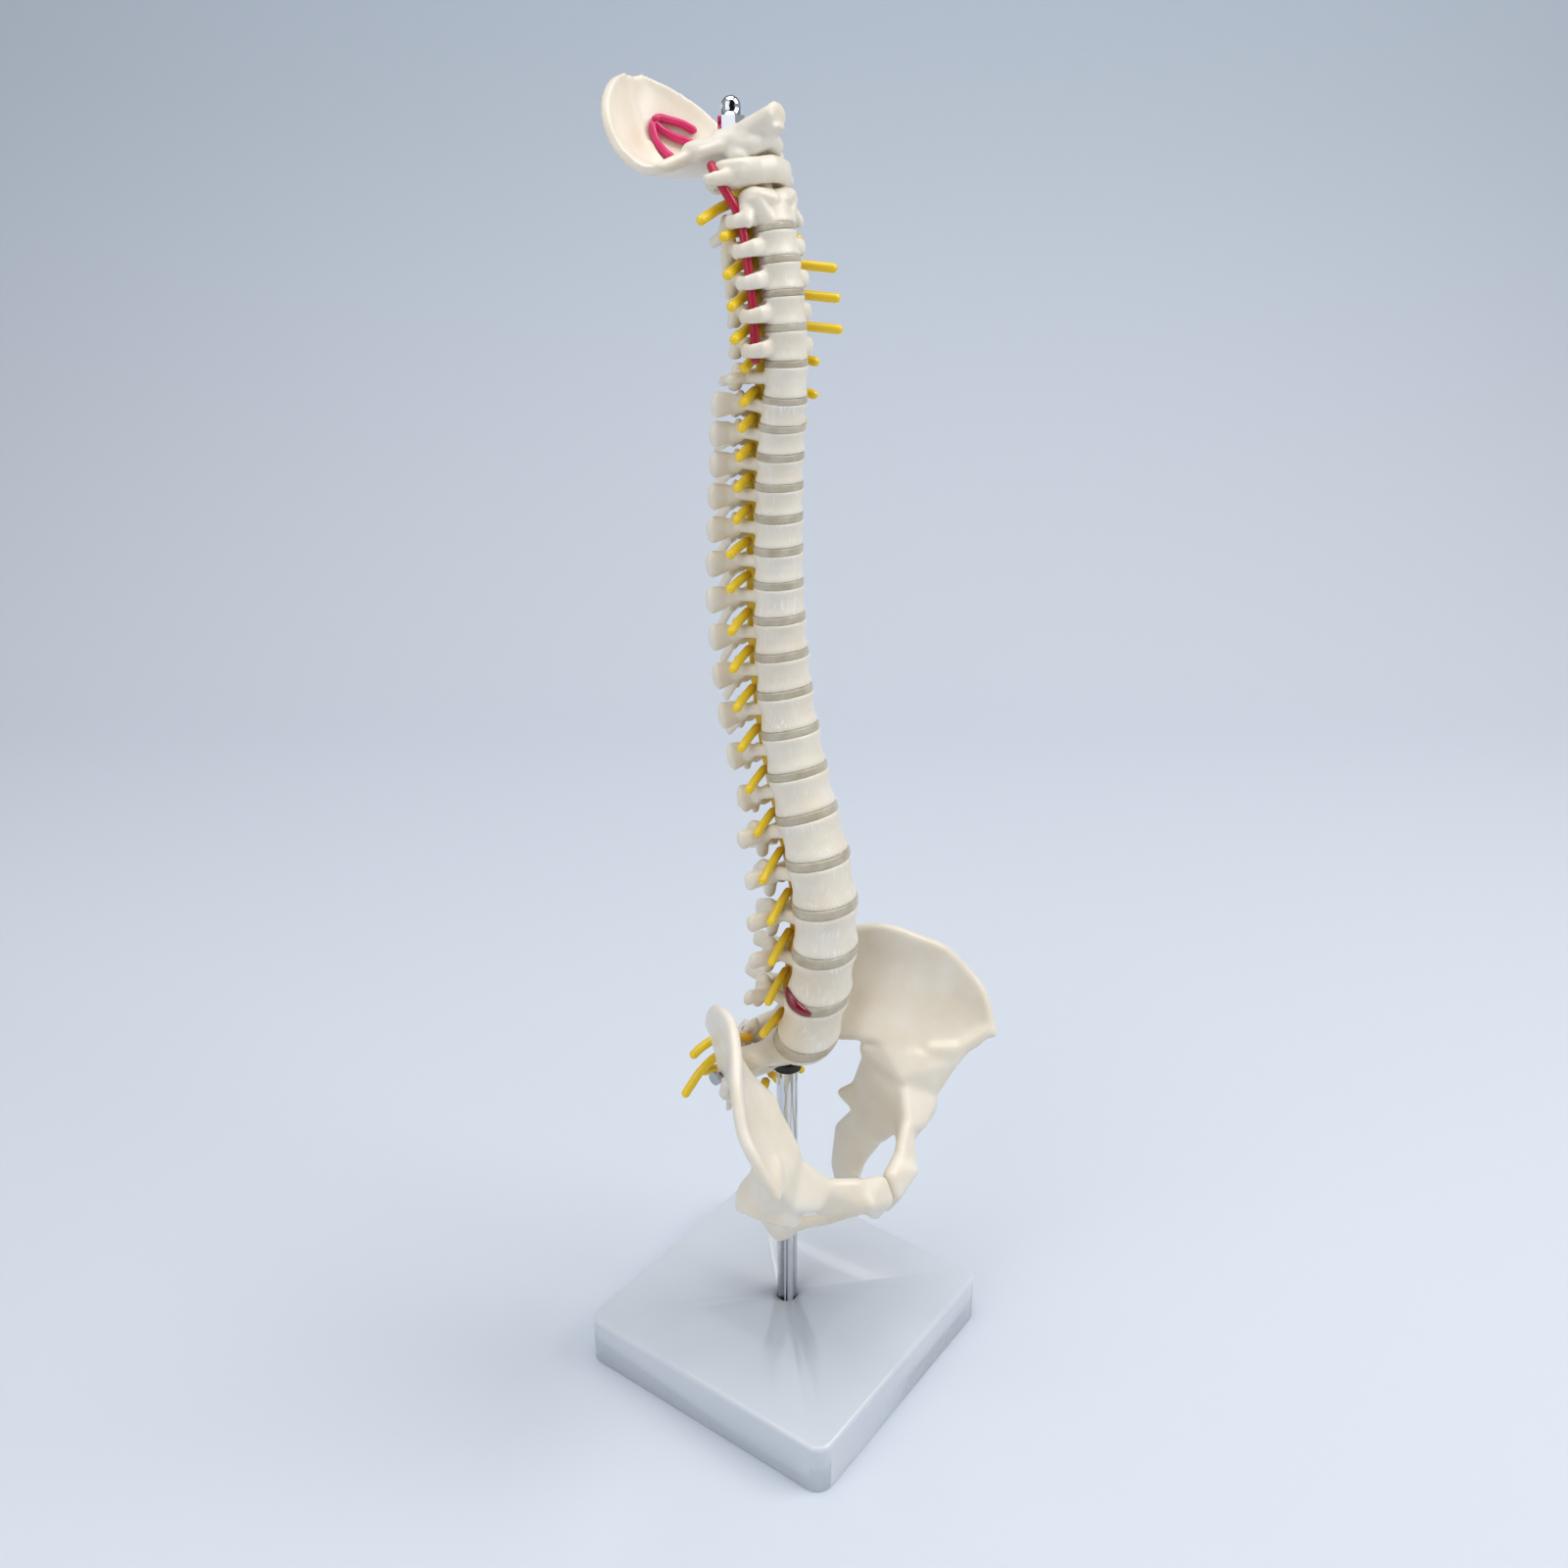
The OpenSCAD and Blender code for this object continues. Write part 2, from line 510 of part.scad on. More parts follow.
// Vertebral artery through the side openings of the neck, one on each side
module vertebral_arteries() color(RED) both_sides() {
    path = concat(
        [place(THORACIC_TOP + 1.1, [artery_x, artery_back, -1])],
        [for (k = [18.5 : 1 : 21.5]) place(k, [artery_x, artery_back, 0])],
        [place(AXIS + 0.35, [artery_x, artery_back, 0]),
         place(AXIS + 0.8, [artery_x + 1.6, artery_back, 0]),
         place(ATLAS + 0.5, [13.6, artery_back + 0.1, 0]),
         place(ATLAS + 1, [12.6, artery_back + 2, 0.4])]);
    sweep(path, artery_d / 2, 8);
}

// Sacrum: stations [forward, z, half width, half depth, lean] from the top down
SACRUM = [[6.8, sacral_disc_z - lumbar_disc_t / 2 - 0.5, 13.6, 9, 24], [-4, 133, 11.4, 7, 34],
    [-14, 122.6, 10, 4.8, 46], [-21.6, 114.6, 8.4, 3.6, 50], [-27, 107.4, 7, 3, 62],
    [-30, 101, 4.6, 2.4, 82], [-29.4, 94.6, 2, 1.6, 110]];
function station(i, p) = let (s = SACRUM[i]) [p[0] * s[2],
    -s[0] + p[1] * s[3] * cos(s[4]), s[1] + p[1] * s[3] * sin(s[4])];
module sacrum() color(BONE) difference() {
    union() {
        skin([for (i = [len(SACRUM) - 1 : -1 : 1]) [for (t = [0 : 36 : 324]) station(i, [cos(t), sin(t)])]]);
        hull() {
            at_level(0) translate([0, 0, -disc_t(0) / 2 - 2]) linear_extrude(2)
                polygon(kidney(half_w(0), half_d(0), 14));
            skin([for (i = [2, 1]) [for (t = [0 : 45 : 315]) station(i, [cos(t), sin(t)])]]);
        }
        both_sides() {
            hull() {
                translate([9, -1, 139]) scale([3, 7, 3]) sphere(1, $fn = 7);
                translate([19, 6, 136]) scale([2.4, 7, 5]) sphere(1, $fn = 7);
                translate([9, 10, 128]) sphere(3, $fn = 6);
                translate([18.6, 12, 128]) scale([2, 5, 4]) sphere(1, $fn = 6);
            }
            hull() {
                translate([8, 13, 124]) sphere(2.6, $fn = 6);
                translate([18, 13, 127]) scale([1.8, 4, 5]) sphere(1, $fn = 6);
                translate([10, 22, 114]) sphere(2.2, $fn = 6);
            }
        }
        rotate([90, 0, 90]) linear_extrude(2.4, center = true) polygon([[8, 142], [13, 143.5], [20, 138],
            [22, 133], [27, 129], [28.5, 124], [32, 120], [32, 114], [26, 112], [10, 130]]);
    }
    translate([0, 0, rod_entry_z - 12]) cylinder(12 + rod_grip + clear, d = rod_d + 2 * bore_clear, $fn = 48);
    translate([0, 0, rod_entry_z - 12])
        cylinder(12 + collar_h, d = rod_d + 2 * (bore_clear + collar_wall + clear), $fn = 48);
    cord_room();
    both_sides() hip_screw(0.15);
    both_sides() for (i = [1 : 4]) translate(station(i, [0.66, 0]))
        rotate([SACRUM[i][4] - 90, 0, 0]) cylinder(40, r = 1.5 - 0.1 * i, center = true, $fn = 16);
}
module rod_collar() color("#3A3A3C") translate([0, 0, rod_entry_z]) difference() {
    cylinder(collar_h, d = rod_d + 2 * (bore_clear + collar_wall), $fn = 48);
    translate([0, 0, -1]) cylinder(collar_h + 2, d = rod_d + 2 * bore_clear, $fn = 48);
}

// Hip bone points: [x, forward, z] of the left side, before the pelvis is turned
function hip(x, f, z) = [x, -f, z];
SOCKET = hip(40, 26, 103);
// Points along the crest from the rear spine to the front spine, and below each of them the
// place where the thin blade ends
CREST = [hip(25, -14, crest_z - 21), hip(31, -6, crest_z - 10), hip(37, 3, crest_z - 3),
    hip(42, 13, crest_z - 1), hip(49, 21.5, crest_z - 5), hip(57, 29, crest_z - 10.6),
    hip(hip_reach - 2.4, 36.4, crest_z - 20.6), hip(hip_reach - 1.2, 42.4, crest_z - 27.6),
    hip(hip_reach - 3.6, 49, crest_z - 40.4)];
FOSSA = [hip(23.5, -12, 133), hip(23.4, -4, 129.6), hip(23.6, 4, 129), hip(24.6, 13.4, 132),
    hip(28, 19.4, 132), hip(33, 25.6, 127.6), hip(41, 32, 123.6), hip(50, 39.4, 124), hip(57, 45.6, 128.6)];
module ball(p, r, n = 6) translate(p) sphere(r, $fn = n);
module hip_left() color(BONE) difference() {
    union() {
        for (i = [0 : len(CREST) - 2]) hull() {
            ball(CREST[i], 2.2, 8);
            ball(CREST[i + 1], 2.2, 8);
            ball(FOSSA[i], 1.5);
            ball(FOSSA[i + 1], 1.5);
        }
        hull() {
            ball(hip(25.4, 15.6, 129.6), 1.8);
            ball(hip(29.6, 22.6, 129.6), 2);
            ball(hip(30.4, 29.6, 120), 2.6);
            ball(hip(50, 39.4, 121.6), 2.6, 8);
            ball(hip(29.6, 17, 115), 2.6);
            ball(hip(43, 36.4, 112), 3);
            ball(SOCKET + [0, 0, 5], socket_r - 2, 10);
        }
        ball(SOCKET, socket_r + socket_wall, 20);
        hull() {
            ball(hip(27.4, 15.6, 123), 2.2);
            ball(hip(28, 11.6, 111), 2.2);
            ball(hip(30.6, 29, 118), 2.4);
            ball(hip(29, 34, 106), 3);
            ball(hip(26.4, 24.6, 93), 2.6);
            ball(hip(26.6, 12, 96), 2.4);
        }
        hull() {
            ball(hip(27, 11.4, 110), 1.8);
            ball(hip(26.6, 11.6, 100), 1.8);
            ball(hip(23.4, 5.6, 106), 1.1);
        }
        hull() {
            ball(hip(27.6, 13, 97), 3.6, 8);
            ball(hip(26.4, 22, 90.6), 2.8);
            ball(hip(25, 6.4, 89), 2.8, 8);
            ball(hip(23, 17.4, 81), 2.6);
        }
        hull() {
            ball(hip(25, 6.4, 89), 2.8, 8);
            ball(hip(23, 17.4, 81), 2.6);
            ball(hip(22, 7.6, seat_z + 10), 3.2, 8);
            ball(hip(20, 11.6, seat_z + 3), 3, 8);
            ball(hip(19.4, 16, seat_z + 6), 2.6);
        }
        bar(hip(20, 13, seat_z + 5.6), hip(13, 28, 76), 3, 2.2);
        bar(hip(13, 28, 76), hip(4.4, pubis_fwd - 4.4, pubis_z - 8), 2.2, 2.6);
        hull() {
            ball(hip(30.4, 31, 116), 2.6);
            ball(hip(23.4, 38.6, 105.8), 2.6);
            ball(hip(40, 36.6, 108), 3);
            ball(hip(32, 39, 104), 2.8);
            ball(hip(28, 32, 98.6), 2.6);
            ball(hip(23, 37, 98), 2.4);
        }
        hull() {
            ball(hip(25, 37, 106.8), 2.6);
            ball(hip(25, 38.4, 98.6), 2.8);
            ball(hip(13, pubis_fwd - 4.6, pubis_z + 9), 2.2);
            ball(hip(13.6, pubis_fwd - 0.6, pubis_z + 4), 2.6);
        }
        hull() {
            ball(hip(13.6, pubis_fwd + 0.2, pubis_z + 3.6), 2.5);
            ball(hip(13, pubis_fwd - 4.6, pubis_z + 8.4), 2.2);
            ball(hip(3.4, pubis_fwd - 2, pubis_z + 5), 2.8, 8);
            ball(hip(3.6, pubis_fwd + 0.8, pubis_z - 1), 2.8, 8);
            ball(hip(4, pubis_fwd - 4, pubis_z - 9), 2.8);
        }
    }
    translate(SOCKET + [3.4, -1.2, -2]) sphere(socket_r, $fn = 24);
    translate(SOCKET + [4.4, -20, -20]) cube([12, 40, 30]);
    translate([-20 + pubic_gap / 2, -90, 0]) cube([20, 100, 200]);
    hip_screw(0.15);
}
module hip_bone_left() hip_left();
module hip_bone_right() mirror([1, 0, 0]) translate([22, 0, 131]) rotate([0, hip_drop, 0])
    translate([-22, 0, -131]) hip_left();
// Screw that holds a hip bone to the sacrum, from the outside inwards
module hip_screw(grow) {
    translate([17, 10.5, 131]) rotate([0, 90, 0]) {
        translate([0, 0, -grow]) cylinder(11 + grow, d = hip_screw_d + 2 * grow, $fn = 24);
        translate([0, 0, 9.4]) cylinder(grow == 0 ? 1.6 : 12, d = hip_screw_d * 1.9 + 2 * grow, $fn = 24);
    }
}
module hip_screws() color(CHROME) both_sides() hip_screw(0);

// Spoon-shaped plate: stations [forward, z in the middle, half width, z of the rim]
SKULL = [[-4.4, 443.6, 3.2, 443], [-9, 441, 4.2, 440.2], [-14, 438.6, 6.8, 437.2], [-19, 437, 10, 435.2],
    [-24.5, 435, 15, 432.8], [-28.5, 433, 20, 430.6], [-33.5, 431, 25, 430], [-39, 429.6, 26.4, 433],
    [-44.6, 429.4, 25.8, 437.4], [-49.4, 430.6, 24.2, 443], [-54.6, 434, 20, 449],
    [-59.6, 441, 13.4, 454], [-62.8, 449.6, 8, 456.6], [-64, 457.4, 3.6, 458]];
function skull_mid(i, u) = let (j = min(floor(i), len(SKULL) - 2), f = i - j,
    s = SKULL[j] * (1 - f) + SKULL[j + 1] * f) [u * s[2], -s[0], s[1] + (s[3] - s[1]) * u * u];
function skull_wall(i) = lookup(SKULL[min(floor(i), len(SKULL) - 1)][0], [[-20, skull_t], [-13, 3.6], [-4, 5.6]]);
// Point at a height above the plate's middle surface, square to it
function skull_point(i, u, height) = let (
    e = 0.4, top = len(SKULL) - 1,
    along = skull_mid(min(i + e, top), u) - skull_mid(max(i - e, 0), u),
    across = skull_mid(i, u + 0.1) - skull_mid(i, u - 0.1))
    skull_mid(i, u) + height * unit(cross(across, along));
module skull_base() color(BONE) difference() {
    union() {
        skin([for (i = [0 : len(SKULL) - 1]) concat(
            [for (u = [-1 : 0.25 : 1]) skull_point(i, u, skull_wall(i) / 2)],
            [for (u = [1 : -0.25 : -1]) skull_point(i, u, -skull_wall(i) / 2)])]);
        for (side = [-1, 1]) hull() {
            ball([side * 6.4, 15.6, 435.4], 2.4);
            ball([side * 7.4, 12.4, 433.2], 1.9);
        }
        translate([0, CORE_TOP[1], 434.4]) cylinder(washer_z - 434.4, r1 = 6.6, r2 = 5.4, $fn = 24);
    }
    translate([0, CORE_TOP[1], 420]) cylinder(30, d = core_d + 2 * clear, $fn = 24);
}
// Forked artery lying on the inner face of the skull base
module basal_artery() color(MAGENTA) {
    lift = (skull_t + basal_artery_d) / 2 + clear - 0.1;
    apex = skull_point(10.2, 0.5, lift);
    tube([skull_point(8.3, 0.62, lift), skull_point(9.3, 0.57, lift), apex], basal_artery_d);
    tube([apex, skull_point(10.1, 0.68, lift), skull_point(9.4, 0.8, lift), skull_point(8.7, 0.82, lift)], basal_artery_d);
    tube([apex, skull_point(9.9, 0.36, lift), skull_point(9.2, 0.28, lift), skull_point(8.6, 0.32, lift)], basal_artery_d);
}
// Sacral roots: two hang from the front of the sacrum beside the rod, and three run out
// behind the hip bones, the lowest two joined
module sacral_nerves() color(NERVE) both_sides() {
    d = nerve_d - 0.2;
    tube([[9, 8.6, 140], [18, 17.4, 140.4], [29, 21, 136]], d);
    tube([[9, 13.4, 133.6], [17, 18.8, 132], [23.6, 21, 128], [31, 23.4, 119]], d);
    tube([[11, 19, 124], [17, 20.8, 125.4], [23.4, 21, 127]], d - 0.3);
    pin([6.6, 4.3, 123.5], [11.8, 2.6, 117.6], d);
    pin([5.8, 14.4, 114.8], [9.8, 12.6, 109.4], d);
}

module support_rod() color(CHROME) difference() {
    translate([0, 0, base_h - rod_seat]) union() {
        cylinder(rod_entry_z + rod_grip - base_h + rod_seat - 0.6, d = rod_d, $fn = 64);
        translate([0, 0, rod_entry_z + rod_grip - base_h + rod_seat - 0.6]) cylinder(0.6, rod_d / 2, rod_d / 2 - 0.6, $fn = 64);
    }
    translate([0, 0, rod_entry_z]) cylinder(rod_grip + 1, d = core_d + 2 * bore_clear, $fn = 24);
}
// Half profile of the base's side with its rounded top edge
module base_edge(r) {
    square([r, base_h - base_edge_r]);
    square([r - base_edge_r, base_h]);
    translate([r - base_edge_r, base_h - base_edge_r]) circle(base_edge_r, $fn = 48);
}
module base_plate() {
    side = base_w / 2 - base_corner_r;
    color("#E6E8EA") difference() {
        union() {
            for (x = [-side, side], y = [-side, side]) translate([x, y, 0])
                rotate_extrude($fn = 64) base_edge(base_corner_r);
            for (turn = [0, 90]) rotate([0, 0, turn]) rotate([90, 0, 0])
                linear_extrude(2 * side, center = true) both_sides() base_edge(base_w / 2);
        }
        translate([0, 0, base_h - rod_seat]) cylinder(rod_seat + 1, d = rod_d + 2 * bore_clear, $fn = 64);
    }
}

// The whole spine is turned a little on its stand
module turned() rotate([0, 0, -stand_turn]) children();

for (i = [0 : LEVELS - 1]) turned() {
    if (i < LUMBAR_TOP) lumbar(i);
    else if (i < THORACIC_TOP) thoracic(i);
    else if (i < AXIS) cervical(i);
    else if (i == AXIS) axis_bone();
    else atlas_bone();
}
for (i = [0 : len(DISCS) - 1]) turned() disc_solid(i);
turned() upper_discs();
turned() disc_prolapse();
turned() sacrum();
turned() hip_bone_right();
turned() hip_bone_left();
turned() hip_screws();
turned() skull_base();
turned() basal_artery();
turned() vertebral_arteries();
turned() spinal_cord();
turned() cervical_nerves();
turned() thoracic_nerves();
turned() lumbar_nerves();
turned() sacral_nerves();
turned() core_rod();
turned() cap_nut();
turned() washer();
rod_collar();
support_rod();
base_plate();
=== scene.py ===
"""Half-size anatomical spine on a chrome rod: bones, discs, nerves and arteries over the CAD frame."""
# %% [markdown]
# # The frame and the measures
# The CAD part is loaded first and stays where it is. Every finished piece stands in for one
# of its nodes or wears a finish of its own.
# %% Load the frame
import math
import bpy
import bmesh
import numpy as np
from mathutils import Matrix, Vector


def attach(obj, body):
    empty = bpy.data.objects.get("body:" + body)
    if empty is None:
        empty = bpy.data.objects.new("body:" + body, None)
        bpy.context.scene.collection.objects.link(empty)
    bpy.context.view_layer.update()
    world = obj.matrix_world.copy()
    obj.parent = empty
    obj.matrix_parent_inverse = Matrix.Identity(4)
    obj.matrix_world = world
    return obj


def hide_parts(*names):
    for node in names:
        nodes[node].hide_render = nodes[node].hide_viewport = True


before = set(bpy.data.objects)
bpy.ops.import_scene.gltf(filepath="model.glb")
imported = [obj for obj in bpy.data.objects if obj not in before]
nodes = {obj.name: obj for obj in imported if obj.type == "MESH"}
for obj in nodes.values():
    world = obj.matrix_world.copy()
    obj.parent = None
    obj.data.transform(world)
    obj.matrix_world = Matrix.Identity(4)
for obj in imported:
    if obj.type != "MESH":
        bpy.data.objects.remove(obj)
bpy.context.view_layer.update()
print("frame:", len(nodes), "nodes")

# %% [markdown]
# The column is counted in levels. Level 0 is the disc on the sacrum, level 22 the disc under
# the axis, and a half level is the middle of a vertebra. These tables are the same driving
# values as in the CAD part, in millimetres.
# %% Levels of the column
LUMBAR_TOP, THORACIC_TOP, AXIS, ATLAS = 5, 17, 22, 23
STAND_TURN = math.radians(-5)
CANAL_DEPTH = 8.0


def lookup(k, table):
    """Straight-line reading of a table of [place, value] pairs."""
    return float(np.interp(k, [row[0] for row in table], [row[1] for row in table]))


def rise(n, m, pitch, taper):
    """Height gained by going up n levels in a region of m levels."""
    return n * pitch + taper * n * (m - n) / 2


def level_z(k):
    """Height of level k above the table."""
    lumbar = min(k, LUMBAR_TOP)
    chest = max(0, min(k, THORACIC_TOP) - LUMBAR_TOP)
    neck = max(0, min(k, AXIS) - THORACIC_TOP)
    return (145 + rise(lumbar, 5, 17.4, 1.2) + rise(chest, 12, 11.2, 0.55) + rise(neck, 5, 9.6, 0.5)
            + max(0, min(k, ATLAS) - AXIS) * 10.5 + max(0, k - ATLAS) * 7.5)


FORWARD = [[0, 8.4], [1, 15.4], [2, 17.6], [3, 17.6], [4, 13.8], [5, 8.4], [6, 4.2], [7, 1], [8, -1.6],
           [10, -3.7], [12, -4.1], [14, -3.7], [16, -2.5], [17, -1], [18, -0.5], [19, -0.8], [20, -1.8],
           [21, -3.4], [22, -4.8], [23, -9.4], [24, -14.4]]
LEAN = [[0, 24], [1, 14], [2.5, 0], [5, -17], [8, -10], [11, -2], [14, 2], [16.5, 7], [19, -3],
        [22, -12], [24, -8]]
HALF_W = [[0, 14], [5, 11.85], [11, 8.5], [16, 8.5], [18, 7.3]]
HALF_D = [[0, 10.2], [3, 10.2], [11, 7.8], [17, 6.1], [19, 5.5]]
DISC_T = [[0, 4.2], [6, 2.4], [13, 2.2], [17, 1.7]]
CANAL_W = [[0, 12], [4, 12], [9, 9], [15, 9], [18, 11]]


def forward(k):
    """How far level k lies in front of the rod."""
    return (lookup(k - 0.3, FORWARD) + lookup(k + 0.3, FORWARD)) / 2


def rear(k):
    """Rear face of a body, behind its centre."""
    return 0.86 * lookup(k, HALF_D)


def place(k, p):
    """Row-frame point of a point (x, rearward, up) in the leaning frame of level k."""
    a = math.radians(lookup(k, LEAN))
    return np.array([p[0], -forward(k) + p[1] * math.cos(a) - p[2] * math.sin(a),
                     level_z(k) + p[1] * math.sin(a) + p[2] * math.cos(a)])


print("height of the atlas:", round(level_z(23.5), 1), "mm")

# %% [markdown]
# # Making solids
# A bone is a handful of convex lumps and lofts. They are joined, wrapped in one skin of small
# cells, and smoothed, so that every meeting of two lumps becomes a soft fillet as in a
# moulded bone.
# %% Lumps, lofts and skins
BALL = []
for i in range(1, 8):
    for j in range(14):
        phi, theta = math.pi * i / 8, 2 * math.pi * (j + 0.5 * (i % 2)) / 14
        BALL.append((math.sin(phi) * math.cos(theta), math.sin(phi) * math.sin(theta), math.cos(phi)))
BALL = np.array(BALL + [(0, 0, 1), (0, 0, -1)])


def lump(*balls):
    """Convex lump round balls, each given as (x, y, z, rx, ry, rz) or with one radius."""
    points = []
    for b in balls:
        radii = np.array(b[3:] if len(b) == 6 else [b[3]] * 3, float)
        points.append(BALL * radii + np.array(b[:3], float))
    bm = bmesh.new()
    for p in np.concatenate(points):
        bm.verts.new(p)
    made = bmesh.ops.convex_hull(bm, input=bm.verts)
    bmesh.ops.delete(bm, geom=[v for v in made["geom_interior"] if isinstance(v, bmesh.types.BMVert)],
                     context="VERTS")
    bm.verts.index_update()
    verts = np.array([v.co for v in bm.verts])
    faces = [[v.index for v in f.verts] for f in bm.faces]
    bm.free()
    return verts, faces


def turns(n):
    """Angles of n even steps round a circle."""
    return np.linspace(0, 2 * math.pi, n, endpoint=False)


def loft(rings):
    """Closed skin over rings of equal point count."""
    n = len(rings[0])
    verts = np.concatenate([np.array(r, float) for r in rings])
    faces = [list(range(n))[::-1], [(len(rings) - 1) * n + i for i in range(n)]]
    for j in range(len(rings) - 1):
        for i in range(n):
            k = (i + 1) % n
            faces.append([j * n + i, j * n + k, (j + 1) * n + k, (j + 1) * n + i])
    return verts, faces


def flipped(part):
    """Mirror image of a part across the middle plane."""
    verts, faces = part
    return verts * np.array([-1, 1, 1]), [f[::-1] for f in faces]


def at(k, part):
    """A part built in the leaning frame of level k, moved to the row frame."""
    verts, faces = part
    return np.array([place(k, v) for v in verts]), faces


def both(part):
    """A part and its mirror image."""
    return [part, flipped(part)]


def put(name, data):
    """New object for a mesh, a lamp or a camera, in the scene."""
    obj = bpy.data.objects.new(name, data)
    bpy.context.scene.collection.objects.link(obj)
    return obj


def make_object(name, parts, turn=True):
    """One mesh object from parts in millimetres, turned on the stand."""
    verts, faces, start = [], [], 0
    for v, f in parts:
        verts.append(v)
        faces += [[i + start for i in face] for face in f]
        start += len(v)
    mesh = bpy.data.meshes.new(name)
    mesh.from_pydata((np.concatenate(verts) * 0.001).tolist(), [], faces)
    if turn:
        mesh.transform(Matrix.Rotation(STAND_TURN, 4, "Z"))
    bm = bmesh.new()
    bm.from_mesh(mesh)
    bmesh.ops.recalc_face_normals(bm, faces=bm.faces)
    bm.to_mesh(mesh)
    bm.free()
    return put(name, mesh)


def baked(obj):
    """Replace an object's mesh by its evaluated one and drop the modifiers."""
    evaluated = obj.evaluated_get(bpy.context.evaluated_depsgraph_get())
    mesh = bpy.data.meshes.new_from_object(evaluated)
    obj.modifiers.clear()
    obj.data = mesh
    return obj


def moulded(obj, cell, rounds):
    """Wrap in one skin of the given cell size in mm, and smooth it."""
    skin = obj.modifiers.new("skin", "REMESH")
    skin.mode = "VOXEL"
    skin.voxel_size = cell * 0.001
    ease = obj.modifiers.new("ease", "SMOOTH")
    ease.factor = 0.5
    ease.iterations = rounds
    baked(obj)
    obj.data.shade_smooth()
    return obj


print("a ball has", len(BALL), "points")

# %% [markdown]
# # Finishes
# The bones are PVC cast in a polished mould, so they are ivory, softly glossy and let a little
# light in. A colour could be typed as three linear numbers, but the hex value read off a
# screen is easier to check, so one function turns it into the linear value a shader wants.
# %% Colours and nodes


def linear(hex_value, alpha=1.0):
    """Linear colour of an sRGB hex value."""
    parts = [int(hex_value[i:i + 2], 16) / 255 for i in (1, 3, 5)]
    return [c / 12.92 if c <= 0.04045 else ((c + 0.055) / 1.055) ** 2.4 for c in parts] + [alpha]


def add(tree, kind, links=None, **settings):
    """Add a node with its settings, and its inputs as values or as sockets to link."""
    node = tree.nodes.new(kind)
    for key, value in settings.items():
        setattr(node, key, value)
    for socket, source in (links or {}).items():
        if isinstance(source, bpy.types.NodeSocket):
            tree.links.new(source, node.inputs[socket])
        else:
            node.inputs[socket].default_value = source
    return node


def finish(name, **values):
    """A new material with its shader's constant values set, and the tree and shader to add to."""
    material = bpy.data.materials.new(name)
    material.use_nodes = True
    tree = material.node_tree
    shader = tree.nodes["Principled BSDF"]
    for socket, value in values.items():
        shader.inputs[socket.replace("_", " ")].default_value = value
    return material, tree, shader


def blend(tree, factor, low, high):
    """Colour between two hex values by a factor."""
    return add(tree, "ShaderNodeMix", {0: factor, 6: linear(low), 7: linear(high)},
               data_type="RGBA").outputs[2]


def place_in(tree):
    """Coordinates that stay with the piece."""
    return add(tree, "ShaderNodeTexCoord").outputs["Object"]


def noise(tree, where, size, detail):
    """Noise whose marks have a real size in millimetres, since the coordinates are in metres."""
    return add(tree, "ShaderNodeTexNoise",
               {"Vector": where, "Scale": 1000.0 / size, "Detail": detail}).outputs[0]


def ramp(tree, value, low, high, start=0.0, end=1.0):
    """A value's stretch from low to high, spread from start to end."""
    return add(tree, "ShaderNodeMapRange", {0: value, 1: low, 2: high, 3: start, 4: end}).outputs[0]


def wear(tree, shader, socket, value):
    """Drive one of the shader's sockets by a value."""
    tree.links.new(value, shader.inputs[socket])


def relief(tree, shader, height, strength, depth, under=None):
    """Bump the surface by a height, on top of another bump if there is one."""
    links = {"Height": height, "Strength": strength, "Distance": depth}
    if under:
        links["Normal"] = under
    bump = add(tree, "ShaderNodeBump", links).outputs[0]
    wear(tree, shader, "Normal", bump)
    return bump


print("ivory in linear light:", [round(c, 3) for c in linear("#EBE4D7")])

# %% [markdown]
# The bone's colour drifts over a few millimetres, where the plastic cooled unevenly. The drums
# carry fine upright scratches that the mould maker cut to suggest bone grain. They are drawn
# by a noise squeezed along Z, and they show only where a mesh holds the attribute named grain.
# %% Ivory bone


def bone_finish():
    """Moulded ivory PVC."""
    material, tree, shader = finish("moulded_ivory_pvc", Roughness=0.36, IOR=1.53, Coat_Weight=0.12,
                                    Coat_Roughness=0.22, Subsurface_Weight=0.12, Subsurface_Scale=0.0025)
    shader.inputs["Subsurface Radius"].default_value = (1.0, 0.62, 0.4)
    where = place_in(tree)
    cloud = noise(tree, where, 14, 3.0)
    spread = ramp(tree, cloud, 0.35, 0.68)
    ivory = blend(tree, spread, "#E9DECA", "#F0E8D9")
    upright = add(tree, "ShaderNodeMapping", {"Vector": where, "Scale": (1.0, 1.0, 0.11)})
    scratch = noise(tree, upright.outputs[0], 0.62, 2.0)
    sharp = ramp(tree, scratch, 0.5, 0.72)
    patch = noise(tree, where, 6.0, 1.0)
    patchy = ramp(tree, patch, 0.42, 0.6)
    grain = add(tree, "ShaderNodeAttribute", attribute_name="grain").outputs["Fac"]
    shown = add(tree, "ShaderNodeMath", {0: sharp, 1: patchy}, operation="MULTIPLY").outputs[0]
    shown = add(tree, "ShaderNodeMath", {0: shown, 1: grain}, operation="MULTIPLY").outputs[0]
    pale = add(tree, "ShaderNodeMix", {0: shown, 6: ivory, 7: linear("#FBF9F4")},
               data_type="RGBA").outputs[2]
    wear(tree, shader, "Base Color", pale)
    pores = noise(tree, where, 1.1, 4.0)
    rough = ramp(tree, pores, 0.3, 0.7, 0.3, 0.44)
    wear(tree, shader, "Roughness", rough)
    fine = relief(tree, shader, pores, 0.12, 0.00025)
    relief(tree, shader, shown, 0.5, 0.0002, under=fine)
    return material


BONE = bone_finish()
print("finish:", BONE.name)

